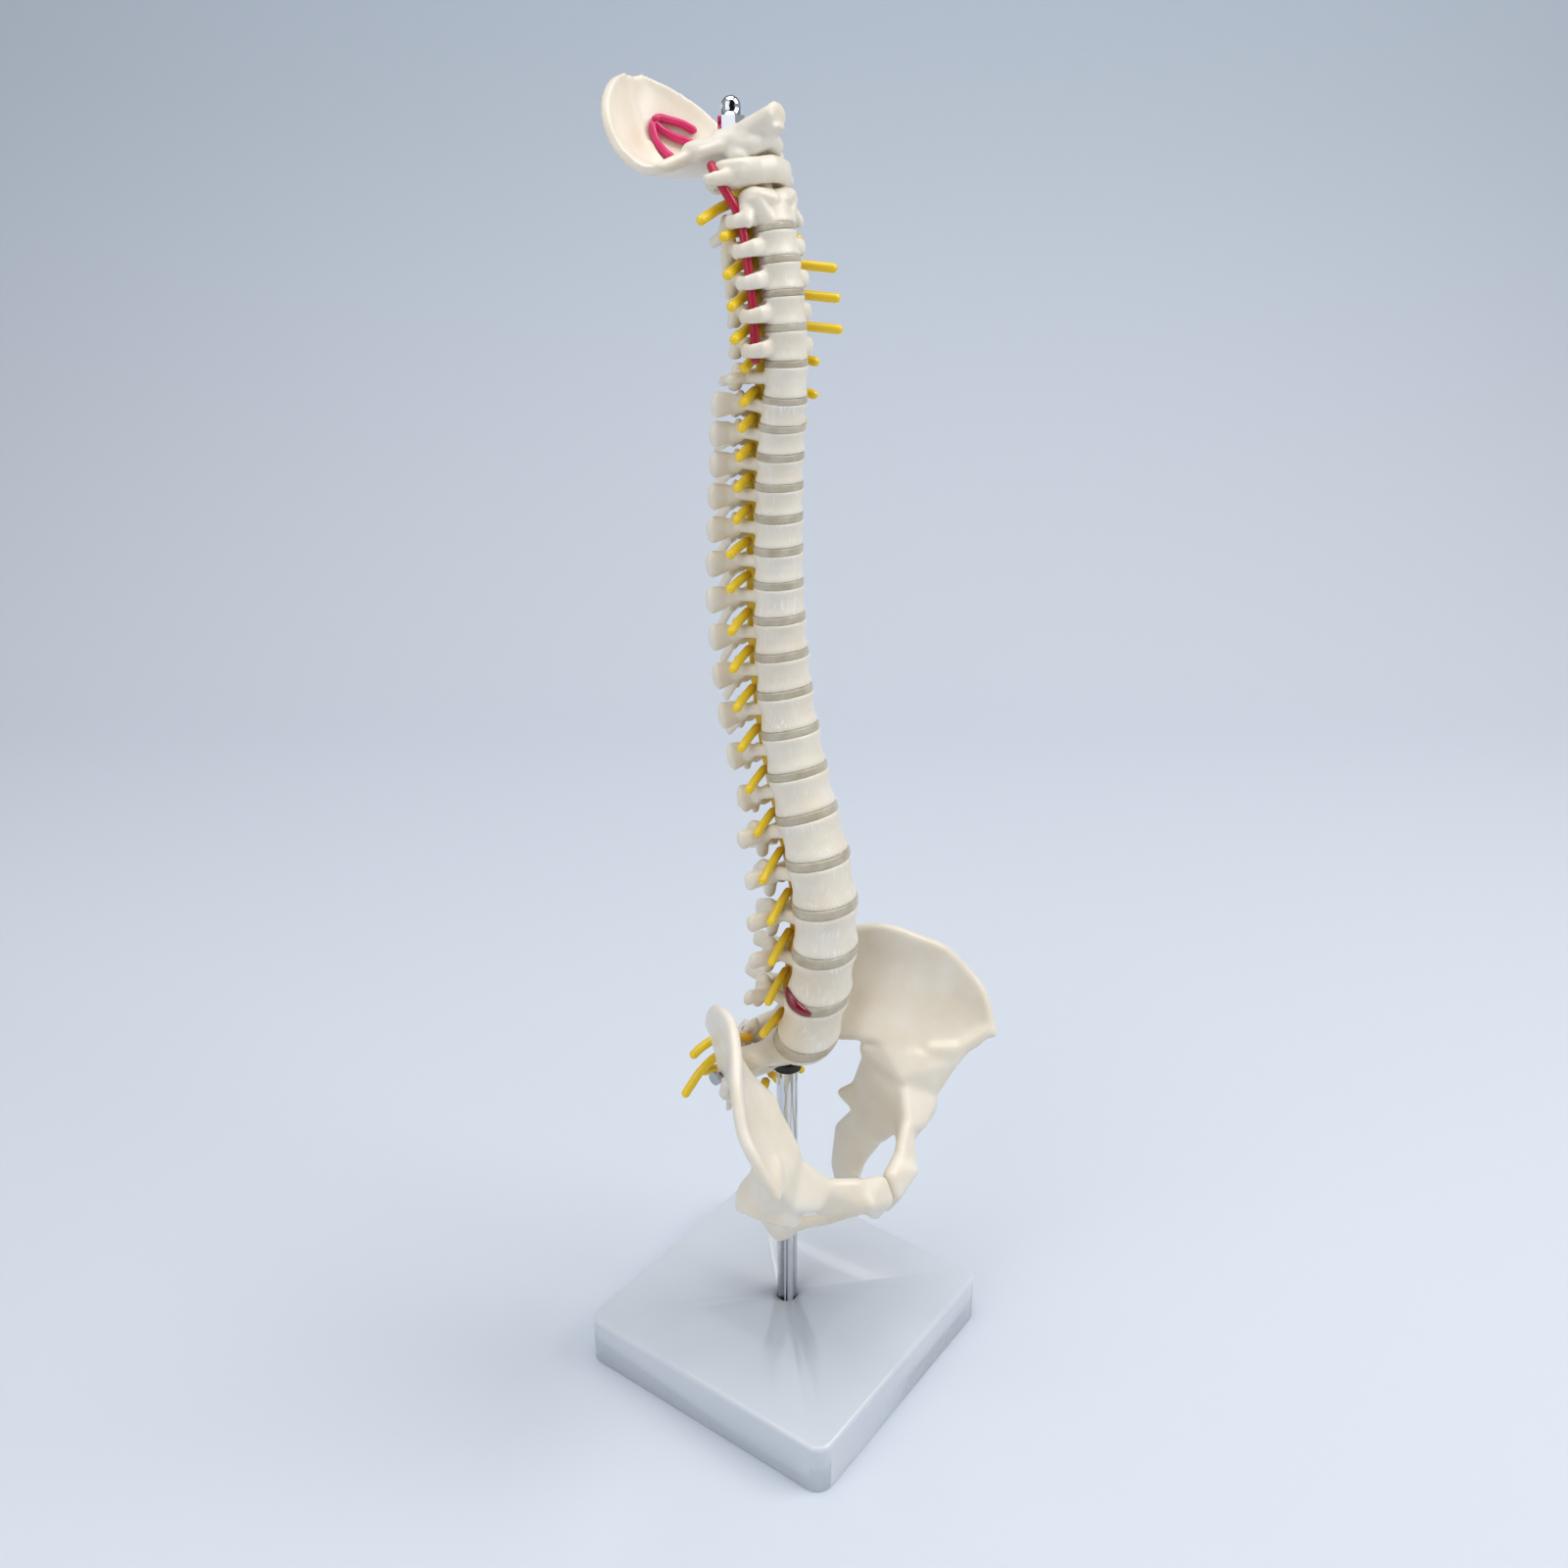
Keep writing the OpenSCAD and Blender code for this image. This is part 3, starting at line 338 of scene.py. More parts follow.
# %% [markdown]
# The discs are a flexible PVC with little pigment, so light enters them and they look like
# dull amber glass, darker where they are thick. The nerve roots are soft yellow PVC that
# browns towards the cord, partly in its own tint and partly as painted shade. Arteries are the
# same plastic in crimson and magenta.
# %% Soft plastics


def disc_finish():
    """Cloudy flexible PVC."""
    material, tree, shader = finish("cloudy_taupe_pvc", Roughness=0.2, IOR=1.52, Transmission_Weight=0.16,
                                    Coat_Weight=0.35, Coat_Roughness=0.08)
    where = place_in(tree)
    cloud = noise(tree, where, 5, 3.0)
    spread = ramp(tree, cloud, 0.35, 0.65)
    wear(tree, shader, "Base Color", blend(tree, spread, "#C2B59B", "#D6CCB8"))
    ripple = noise(tree, where, 2.2, 2.0)
    relief(tree, shader, ripple, 0.25, 0.0002)
    return material


def soft_pvc(name, root, tip, roughness, coat):
    """Soft coloured PVC whose colour runs from a darker root, partly painted shade, to its tip along the
    piece.
    """
    material, tree, shader = finish(name, IOR=1.52, Coat_Weight=coat, Coat_Roughness=0.12,
                                    Subsurface_Weight=0.1, Subsurface_Scale=0.0015)
    where = place_in(tree)
    along = add(tree, "ShaderNodeAttribute", attribute_name="along").outputs["Fac"]
    # painted shade: each piece darkens towards its root end, partly its own tint and partly painted shade
    out_of_painted_shade = ramp(tree, along, 0.05, 0.45)
    wear(tree, shader, "Base Color", blend(tree, out_of_painted_shade, root, tip))
    skin = noise(tree, where, 0.9, 3.0)
    rough = ramp(tree, skin, 0.3, 0.7, roughness - 0.06, roughness + 0.06)
    wear(tree, shader, "Roughness", rough)
    relief(tree, shader, skin, 0.15, 0.0002)
    return material


DISC = disc_finish()
# The first colour of each finish is the darker root end, partly painted shade.
NERVE = soft_pvc("soft_yellow_pvc", "#DDA312", "#F8D21C", 0.34, 0.25)
ARTERY = soft_pvc("soft_crimson_pvc", "#A8122F", "#BE1A3C", 0.34, 0.25)
MAGENTA = soft_pvc("soft_magenta_pvc", "#C81A60", "#D6226A", 0.34, 0.25)
PROLAPSE = soft_pvc("dark_red_lacquer", "#7C0E26", "#8E132F", 0.2, 0.6)
print("finishes:", DISC.name, NERVE.name, ARTERY.name)

# %% [markdown]
# The rod and the nut are chrome on polished steel: a clean mirror whose only marks are faint
# polishing lines round the axis. The rubber ring is dull black. The base is a thick
# white plastic plate, buffed so that the rod shows in it as a soft streak.
# %% Metal, plate and rubber


def metal_finish(name, colour, roughness, line):
    """Metal with fine lines round the upright axis."""
    material, tree, shader = finish(name, Metallic=1.0, Base_Color=linear(colour))
    where = place_in(tree)
    flat = add(tree, "ShaderNodeMapping", {"Vector": where, "Scale": (0.08, 0.08, 1.0)})
    lines = noise(tree, flat.outputs[0], line, 2.0)
    rough = ramp(tree, lines, 0.3, 0.7, roughness, roughness * 1.8)
    wear(tree, shader, "Roughness", rough)
    return material


def plate_finish():
    """Buffed white plastic plate."""
    material, tree, shader = finish("buffed_white_plate", IOR=1.49, Coat_Weight=0.5, Coat_Roughness=0.05)
    where = place_in(tree)
    cloud = noise(tree, where, 40, 2.0)
    spread = ramp(tree, cloud, 0.35, 0.65)
    wear(tree, shader, "Base Color", blend(tree, spread, "#D3D8DF", "#D9DDE3"))
    buff = noise(tree, where, 3, 3.0)
    rough = ramp(tree, buff, 0.3, 0.7, 0.16, 0.26)
    wear(tree, shader, "Roughness", rough)
    return material


def rubber_finish():
    """Black rubber ring."""
    material, tree, shader = finish("black_rubber", IOR=1.5)
    where = place_in(tree)
    dust = noise(tree, where, 1.5, 3.0)
    wear(tree, shader, "Base Color", blend(tree, dust, "#161617", "#2A2A2C"))
    rough = ramp(tree, dust, 0.0, 1.0, 0.45, 0.65)
    wear(tree, shader, "Roughness", rough)
    return material


CHROME = metal_finish("polished_chrome", "#DADCDF", 0.05, 0.4)
STEEL = metal_finish("zinc_plated_steel", "#B9BABC", 0.24, 0.3)
PLATE = plate_finish()
RUBBER = rubber_finish()
print("finishes:", CHROME.name, STEEL.name, PLATE.name, RUBBER.name)


def dress(obj, material, slot, *stands_for):
    """Give a finished piece its material and its place in the frame."""
    obj.data.materials.clear()
    obj.data.materials.append(material)
    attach(obj, "root")
    if stands_for:
        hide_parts(*stands_for)
    return obj


# %% [markdown]
# # Vertebrae
# Each vertebra is a waisted drum with an arch behind it. The drum is lofted from kidney-shaped
# rings between the two discs, so that it follows the bend of the column. The arch is made of
# lumps: pedicles, laminae, joint processes, side processes and the spine.
# %% Back and chest vertebrae
WAIST = [(0, 0.975), (0.01, 0.99), (0.035, 1.0), (0.1, 1.0), (0.17, 0.98), (0.28, 0.945), (0.4, 0.925),
         (0.6, 0.925), (0.72, 0.945), (0.83, 0.98), (0.9, 1.0), (0.965, 1.0), (0.99, 0.99), (1, 0.975)]


def kidney(w, d, n=56):
    """Kidney-shaped outline, hollowed behind."""
    t = turns(n)
    s = np.sin(t)
    return np.stack([w * np.cos(t), np.where(s < 0, d * s, d * (0.98 * s - 0.12 * s ** 6))], axis=1)


def drum(k, profile=WAIST, height=None):
    """Body of the vertebra above level k."""
    w, d = lookup(k + 0.5, HALF_W), lookup(k + 0.5, HALF_D)
    low, high = lookup(k, DISC_T) / 2, -lookup(k + 1, DISC_T) / 2
    rings = []
    for s, g in profile:
        if height:
            rings.append([place(k, (p[0], p[1], low + s * height)) for p in kidney(w * g, d * g)])
        else:
            rings.append([(1 - s) * place(k, (p[0], p[1], low)) + s * place(k + 1, (p[0], p[1], high))
                          for p in kidney(w * g, d * g)])
    return loft(rings)


def lumbar(i):
    """Parts of a lower back vertebra."""
    k = i + 0.5
    c = lookup(k, CANAL_W) / 2
    y = rear(k) + CANAL_DEPTH
    reach = 21 - 1.2 * abs(i - 2)
    arm = 8.6 - 0.5 * i
    side = [lump((c + 0.9, y - 9, 2.6, 1.9, 1.8, 2.4), (c + 1.8, y - 3, 2.6, 2, 2, 2.5)),
            lump((c + 1.8, y - 2.4, 2.2, 2, 1.9, 2.6), (c + 0.4, y + 0.6, 0, 1.9, 1.6, 3)),
            lump((c + 0.4, y + 0.6, 0.4, 1.8, 1.5, 3), (0.6, y + 2.4, -1, 1.6, 1.5, 3.6)),
            lump((c + 2.4, y - 1.6, 3, 2.4, 2.2, 3), (c + 3.8, y + 0.5, arm - 1.8, 2.1, 2.5, 2.4)),
            lump((c + 4.2, y + 1.4, arm - 2.6, 2.2, 2, 2.8), (c + 3.6, y + 1, 2, 2.2, 2, 2.6)),
            lump((c + 0.6, y + 0.9, -1, 2.4, 2, 3), (c + 0.6, y + 2.2, -arm + 1.8, 2.4, 2, 2.6)),
            lump((c + 2, y - 2.4, 2, 2.2, 2.2, 3), (reach - 4, y - 1, 2.6, 2, 1.9, 3.2)),
            lump((reach - 4.6, y - 1, 2.6, 2, 1.8, 3), (reach - 1.6, y - 0.2, 2.6, 2.1, 1.9, 3.5))]
    spine = [lump((0, y + 1.6, -1.1, 1.5, 1.6, 3.9), (0, y + 6, -1.9, 1, 1.6, 3.7)),
             lump((0, y + 6, -1.9, 1, 1.6, 3.7), (0, y + 12, -2.9, 1.2, 1.5, 3.9)),
             lump((0, y + 11, -3.2, 1.1, 1.6, 3.4), (0, y + 14.2, -3.6, 1.7, 1.3, 3.5))]
    parts = [at(k, p) for s in side for p in both(s)] + [at(k, p) for p in spine]
    return parts + [drum(i)]


def thoracic(i):
    """Parts of a chest vertebra."""
    k = i + 0.5
    j = i - LUMBAR_TOP
    c = lookup(k, CANAL_W) / 2
    y = rear(k) + CANAL_DEPTH
    reach = 15 + lookup(j, [[0, -4], [2, -2], [5, -0.4], [9, -1.8], [11, -0.6]])
    fall = lookup(j, [[0, 3], [3, 9], [6, 11], [9, 8], [11, 4]])
    arm = 5.9 - 0.14 * j
    length = 15 - fall * 0.35
    tall = 4.9 - 0.07 * j
    side = [lump((c + 0.5, y - 9, 1.2, 1.6, 1.5, 2), (c + 1.2, y - 2.6, 1.3, 1.8, 1.7, 2.2)),
            lump((c + 1.2, y - 2, 1, 1.9, 1.8, 2.8), (c - 0.2, y + 0.7, 0, 1.9, 1.5, 3.2)),
            lump((c - 0.2, y + 0.7, -0.2, 1.6, 1.3, 2.8), (0.5, y + 2.2, -1.6, 1.5, 1.3, 3.4)),
            lump((c + 0.6, y - 1.4, 1.4, 1.5, 1.2, 1.6), (c + 0.9, y - 0.5, arm - 1, 1.5, 0.9, 1.4)),
            lump((c - 0.4, y + 1, -1.4, 1.6, 1.3, 1.6), (c - 0.4, y + 2.3, -arm + 1, 1.6, 1, 1.4)),
            lump((c + 1, y - 1.9, 0.6, 1.9, 1.8, 2.8), (reach - 4.6, y + 1, 0.4, 1.9, 1.8, 3.2)),
            lump((reach - 5, y + 0.8, 0.4, 1.9, 1.9, tall * 0.86),
                 (reach - 1.2, y + 2.2, 0.2, 2.3, 2.1, tall))]
    spine = [lump((0, y + 1.8, -1.2, 1.5, 1.6, 2.6),
                  (0, y + 1.7 + length * 0.5, -1.2 - fall * 0.44, 1, 1.4, 2.2)),
             lump((0, y + 1.7 + length * 0.5, -1.2 - fall * 0.44, 1, 1.4, 2.2),
                  (0, y + 0.5 + length, -1.3 - fall, 1.35, 1.2, 1.9))]
    parts = [at(k, p) for s in side for p in both(s)] + [at(k, p) for p in spine]
    return parts + [drum(i)]


print("a chest vertebra has", len(thoracic(8)), "parts")

# %% [markdown]
# In the neck the side process is a fork round the opening for the vertebral artery. The axis
# carries broad shoulders and the dens, and the atlas is a ring with two heavy side masses.
# %% Neck vertebrae
ARTERY_X, ARTERY_BACK, ARTERY_D = 10.4, 3.2, 2.8
NECK_REACH = 13.6


def fork(k):
    """Two roots and the outer knob round the artery's opening, on the left side."""
    x, y = ARTERY_X, ARTERY_BACK
    gap = ARTERY_D / 2 + 1.5
    hw = lookup(k, HALF_W)
    c = lookup(k, CANAL_W) / 2
    return [lump((hw - 2.4, y - gap, -0.2, 1.8, 1.4, 3), (x + 0.2, y - gap - 0.3, -0.8, 1.4, 1.2, 2.5)),
            lump((x + 0.2, y - gap - 0.3, -0.8, 1.4, 1.2, 2.5),
                 (NECK_REACH - 0.6, y - 0.8, -1.2, 1.2, 1.4, 2.1)),
            lump((c + 1.4, y + gap + 1, 0, 1.7, 1.6, 2.5), (NECK_REACH - 0.8, y + 1.9, -1, 1.4, 1.4, 2.3)),
            lump((NECK_REACH - 0.6, y - 0.8, -1.2, 1.2, 1.3, 2),
                 (NECK_REACH - 0.6, y + 1.9, -1, 1.3, 1.3, 2.1))]


def cervical(i):
    """Parts of a neck vertebra; the lowest one has a long plain spine and plain side processes."""
    k = i + 0.5
    c = lookup(k, CANAL_W) / 2
    y = rear(k) + CANAL_DEPTH
    low = i == THORACIC_TOP
    long = 13 if low else 8
    side = [lump((c + 1, y - 8.6, 0.6, 1.5, 1.5, 1.8), (c + 2, y - 2.6, 0.4, 1.8, 1.8, 2)),
            lump((c + 2.2, y - 0.9, 3.4, 2.5, 1.8, 1), (c + 2, y + 0.2, 0, 2.8, 2.1, 2.6),
                 (c + 1.5, y + 1.7, -3.5, 2.4, 1.7, 1)),
            lump((c + 1.2, y + 0.4, 0.4, 1.5, 1.3, 2.2), (0.6, y + 2.3, -0.8, 1.3, 1.2, 2.4))]
    if low:
        side += [lump((c + 2, y - 3, 0.6, 1.8, 1.7, 1.8), (NECK_REACH, y - 3.6, 0.4, 1.6, 1.8, 1.7)),
                 lump((NECK_REACH, y - 3.6, 0.4, 1.6, 1.8, 1.7),
                      (NECK_REACH + 1.4, y - 3.8, 0.3, 1.2, 1.7, 1.6))]
        spine = [lump((0, y + 1.8, -1, 1.5, 1.5, 2.1), (0, y + 1.4 + long * 0.6, -2.2, 1, 1.4, 1.7)),
                 lump((0, y + 1.4 + long * 0.6, -2.2, 1, 1.4, 1.7),
                      (0, y + 0.3 + long, -3.6, 1.5, 1.3, 1.7))]
    else:
        side += fork(k) + [lump((0.8, y + 4.6, -2, 0.9, 1.2, 1.5),
                                (1.5, y + 0.6 + long, -3.6, 1.1, 1.1, 1.2))]
        spine = [lump((0, y + 1.8, -1, 1.5, 1.5, 2), (0, y + 5.4, -2, 1.3, 1.4, 1.6))]
    parts = [at(k, p) for s in side for p in both(s)] + [at(k, p) for p in spine]
    return parts + [drum(i)]


def axis_parts():
    """Parts of the axis, whose dens stands up into the atlas."""
    k = AXIS + 0.35
    c = lookup(k, CANAL_W) / 2
    y = rear(k) + CANAL_DEPTH
    side = [lump((2, -1, 3.4, 3.4, 4.2, 3.6), (6.6, 0.6, 5, 3.7, 4.8, 2.8)),
            lump((4, -1, -2.4, 3, 3.8, 2.4), (7.4, 0.6, 4, 3.3, 4.4, 2.4)),
            lump((8.4, 1.4, 2.4, 2.8, 3, 2.2), (11.2, -0.6, -1.8, 1.5, 1.4, 2)),
            lump((9, 5.4, 0.4, 2, 1.6, 1.8), (c + 2, y - 2, 0, 1.9, 1.8, 2)),
            lump((c + 2, y - 1.4, 0.4, 1.9, 1.6, 2.2), (c + 1.3, y + 1.6, -3.2, 1.9, 1.4, 1.1)),
            lump((c + 1, y, 0.2, 1.6, 1.5, 2.4), (0.8, y + 2.6, -0.4, 1.5, 1.4, 3)),
            lump((1, y + 4, -1, 1.4, 1.6, 2.4), (2.1, y + 10, -3.4, 1.5, 1.4, 1.7))] + fork(k)
    mid = [lump((0, 1.4, -2, 2.9, 2.9, 2), (0, 1.5, 9.2, 2.5, 2.3, 2.4)),
           lump((0, 1.7, 6.4, 2.4, 2.2, 2), (0, 1.8, 9.9, 2, 1.9, 2)),
           lump((0, -0.6, -2, 5, 4.4, 2), (0, -0.4, 3, 3.6, 3.4, 2.2)),
           lump((0, y + 2, -0.6, 1.8, 1.8, 2.8), (0, y + 8, -2.2, 1.4, 1.5, 2.2))]
    parts = [at(k, p) for s in side for p in both(s)] + [at(k, p) for p in mid]
    shrink = [(0, 0.95), (0.02, 0.985), (0.08, 1), (0.2, 0.97), (0.4, 0.92), (0.7, 0.88), (1, 0.8)]
    return parts + [drum(AXIS, shrink, 6.4)]


def atlas_parts():
    """Parts of the atlas."""
    side = [lump((0, -6.3, 0.9, 3, 2, 3.9), (4.6, -5.3, 0.6, 2.2, 2, 3.8)),
            lump((4.6, -5.3, 0.6, 2.2, 2, 3.8), (9, -1.6, 0.6, 3.2, 3, 4.1)),
            lump((8.6, -0.6, 2.6, 3.6, 4.2, 2), (9.8, 3, 3, 3.6, 3.6, 1.8), (8.8, 1.2, -2.4, 4, 4.8, 1.5)),
            lump((11, -0.6, -0.4, 2, 1.8, 2.5), (16.2, 2, -0.7, 1.6, 1.4, 2)),
            lump((11, 6.9, -0.2, 1.5, 1.4, 1.8), (16.2, 5, -0.5, 1.3, 1.2, 1.6)),
            lump((16.2, 2, -0.5, 1.3, 1.3, 1.6), (16.4, 5, -0.5, 1.3, 1.3, 1.6),
                 (17.6, 3.4, -0.6, 1.1, 1.5, 1.4)),
            lump((9.8, 6, -0.2, 2.2, 2, 2.2), (8.6, 10.6, -0.2, 1.5, 1.6, 1.9)),
            lump((8.6, 10.6, -0.2, 1.5, 1.6, 1.9), (4.6, 15, -0.2, 1.5, 1.4, 1.9)),
            lump((4.6, 15, -0.2, 1.5, 1.4, 1.9), (0, 16.9, -0.2, 1.8, 1.7, 2.4))]
    return [at(ATLAS + 0.5, p) for s in side for p in both(s)]


print("the axis has", len(axis_parts()), "parts")

# %% [markdown]
# Every vertebra is wrapped in a skin of half-millimetre cells and smoothed. Each point of the drum's
# outer wall is then marked for the upright grain, by its place in the bone's own level.
# %% Make the vertebrae
NAMES = ["l5", "l4", "l3", "l2", "l1"] + ["t%d" % n for n in range(12, 0, -1)] + \
        ["c7", "c6", "c5", "c4", "c3", "c2_axis", "c1_atlas"]


def level_of(k):
    """Matrix of the leaning frame of level k on the turned stand, in metres."""
    return (Matrix.Rotation(STAND_TURN, 4, "Z")
            @ Matrix.Translation((0, -forward(k) / 1000, level_z(k) / 1000))
            @ Matrix.Rotation(math.radians(lookup(k, LEAN)), 4, "X"))


def mark_grain(obj, k, strength):
    """Store how far each point lies on the drum's outer wall."""
    back = np.array(level_of(k).inverted())
    co = np.empty(len(obj.data.vertices) * 3)
    obj.data.vertices.foreach_get("co", co)
    p = (co.reshape(-1, 3) @ back[:3, :3].T + back[:3, 3]) * 1000
    w, d = lookup(k, HALF_W), lookup(k, HALF_D)
    inside = (p[:, 0] / w) ** 2 + (p[:, 1] / d) ** 2
    wall = np.clip((inside - 0.7) / 0.1, 0, 1) * np.clip((0.5 * d - p[:, 1]) / 2, 0, 1)
    obj.data.attributes.new("grain", "FLOAT", "POINT").data.foreach_set("value", wall * strength)


LUMBAR_CELL, SMALL_CELL = 0.54, 0.48
triangles = 0
for i, name in enumerate(NAMES):
    if i < LUMBAR_TOP:
        parts, strength = lumbar(i), 0.8
    elif i < THORACIC_TOP:
        parts, strength = thoracic(i), 1.0 if i % 3 == 1 else 0.5
    elif i < AXIS:
        parts, strength = cervical(i), 0.3
    else:
        parts, strength = (axis_parts(), 0.2) if i == AXIS else (atlas_parts(), 0.0)
    bone = moulded(make_object("bone_" + name, parts), LUMBAR_CELL if i < LUMBAR_TOP else SMALL_CELL, 3)
    mark_grain(bone, i + 0.5, strength)
    dress(bone, BONE, "bone", name)
    triangles += 2 * len(bone.data.polygons)
print("vertebrae:", len(NAMES), "with", triangles, "triangles")

# %% [markdown]
# # Discs
# All discs follow one rule: the kidney outline of their level, a thickness, and a slight
# bulge. So one Geometry Nodes tree makes them all, from a cylinder whose points are moved by
# that rule, and only its inputs change from level to level.
# %% Discs by one rule


def socket(tree, name, kind, default=None):
    """A named input of a tree, with its default value when one is given."""
    made = tree.interface.new_socket(name, in_out="INPUT", socket_type=kind)
    if default is not None:
        made.default_value = default
    return made


def math_node(tree, operation, a, b=0.0):
    """Result of one sum on two values."""
    return add(tree, "ShaderNodeMath", {0: a, 1: b}, operation=operation).outputs[0]


def new_tree(name, inputs):
    """Tree with a geometry input and output and the given named inputs."""
    tree = bpy.data.node_groups.new(name, "GeometryNodeTree")
    tree.interface.new_socket("Geometry", in_out="OUTPUT", socket_type="NodeSocketGeometry")
    socket(tree, "Geometry", "NodeSocketGeometry")
    for label, kind, default in inputs:
        socket(tree, label, kind, default)
    return tree, tree.nodes.new("NodeGroupInput"), tree.nodes.new("NodeGroupOutput")


def disc_tree():
    """Tree that shapes a cylinder into a disc with a kidney outline and a bulge."""
    tree, given, result = new_tree("disc_rule", [
        ("Half width", "NodeSocketFloat", 0.014), ("Half depth", "NodeSocketFloat", 0.01),
        ("Thickness", "NodeSocketFloat", 0.003), ("Bulge", "NodeSocketFloat", 0.03),
        ("Material", "NodeSocketMaterial", None)])
    blank = add(tree, "GeometryNodeMeshCylinder", {"Vertices": 72, "Side Segments": 10, "Fill Segments": 3,
                                                   "Radius": 1.0, "Depth": 1.0})
    split = add(tree, "ShaderNodeSeparateXYZ", {0: add(tree, "GeometryNodeInputPosition").outputs[0]})
    x, y, z = split.outputs
    level = math_node(tree, "MULTIPLY", math_node(tree, "MULTIPLY", z, z), 4.0)
    swell = math_node(tree, "MULTIPLY", math_node(tree, "SUBTRACT", 1.0, level), given.outputs["Bulge"])
    edge = math_node(tree, "MULTIPLY", math_node(tree, "POWER", level, 6.0), 0.015)
    grow = math_node(tree, "SUBTRACT", math_node(tree, "ADD", swell, 1.0), edge)
    dent = math_node(tree, "MULTIPLY", math_node(tree, "POWER", math_node(tree, "MAXIMUM", y, 0.0), 6.0),
                     0.12)
    back = math_node(tree, "SUBTRACT", y, dent)
    new_x = math_node(tree, "MULTIPLY", math_node(tree, "MULTIPLY", x, grow), given.outputs["Half width"])
    new_y = math_node(tree, "MULTIPLY", math_node(tree, "MULTIPLY", back, grow),
                      given.outputs["Half depth"])
    new_z = math_node(tree, "MULTIPLY", z, given.outputs["Thickness"])
    point = add(tree, "ShaderNodeCombineXYZ", {0: new_x, 1: new_y, 2: new_z})
    moved = add(tree, "GeometryNodeSetPosition",
                {"Geometry": blank.outputs["Mesh"], "Position": point.outputs[0]})
    smooth = add(tree, "GeometryNodeSetShadeSmooth", {"Geometry": moved.outputs[0]})
    real = add(tree, "GeometryNodeRealizeInstances", {"Geometry": smooth.outputs[0]})
    painted = add(tree, "GeometryNodeSetMaterial",
                  {"Geometry": real.outputs[0], "Material": given.outputs["Material"]})
    tree.links.new(painted.outputs[0], result.inputs[0])
    return tree


def grown(name, tree, values, points=None, chains=None):
    """Run a tree on a mesh of point chains, or on nothing, and return a plain mesh object."""
    mesh = bpy.data.meshes.new(name)
    if points is not None:
        edges, start = [], 0
        for n in chains:
            edges += [(start + i, start + i + 1) for i in range(n - 1)]
            start += n
        mesh.from_pydata((np.array(points) * 0.001).tolist(), edges, [])
        mesh.transform(Matrix.Rotation(STAND_TURN, 4, "Z"))
    obj = put(name, mesh)
    grower = obj.modifiers.new("grower", "NODES")
    grower.node_group = tree
    for item in tree.interface.items_tree:
        if item.in_out == "INPUT" and item.name in values:
            grower[item.identifier] = values[item.name]
    return baked(obj)


DISC_RULE = disc_tree()
DISC_NAMES = ["l5_s1", "l4_l5", "l3_l4", "l2_l3", "l1_l2", "t12_l1", "t11_t12", "t10_t11", "t9_t10",
              "t8_t9",
              "t7_t8", "t6_t7", "t5_t6", "t4_t5", "t3_t4", "t2_t3"]


def make_disc(name, k):
    """Disc of level k, between its two drums."""
    thick = lookup(k, DISC_T)
    obj = grown(name, DISC_RULE,
                {"Half width": lookup(k, HALF_W) / 1000, "Half depth": lookup(k, HALF_D) / 1000,
                                  "Thickness": (thick + 0.1) / 1000, "Bulge": 0.022 if k < 5 else 0.008,
                                  "Material": DISC})
    obj.data.transform(level_of(k))
    return obj


def joined(name, objects):
    """One object from several."""
    bm = bmesh.new()
    for obj in objects:
        bm.from_mesh(obj.data)
    mesh = bpy.data.meshes.new(name)
    bm.to_mesh(mesh)
    bm.free()
    for obj in objects:
        bpy.data.objects.remove(obj)
    mesh.shade_smooth()
    return put(name, mesh)


for k, name in enumerate(DISC_NAMES):
    dress(make_disc("cushion_" + name, k), DISC, "disc", "disc_" + name)
small = [make_disc("neck_%d" % k, k) for k in range(len(DISC_NAMES), AXIS + 1)]
dress(joined("cushions_upper", small), DISC, "disc", "upper_discs")
print("discs:", len(DISC_NAMES) + len(small))

# %% [markdown]
# # Nerves and vessels
# A root is a short round-ended cord of soft plastic. All roots and vessels follow paths, so a
# second tree turns chains of points into tubes: a smooth curve, close rings along it, and a
# radius that closes in a half circle at both ends. It also stores how far along each ring is,
# which the yellow finish reads.
# %% Tubes and the cord


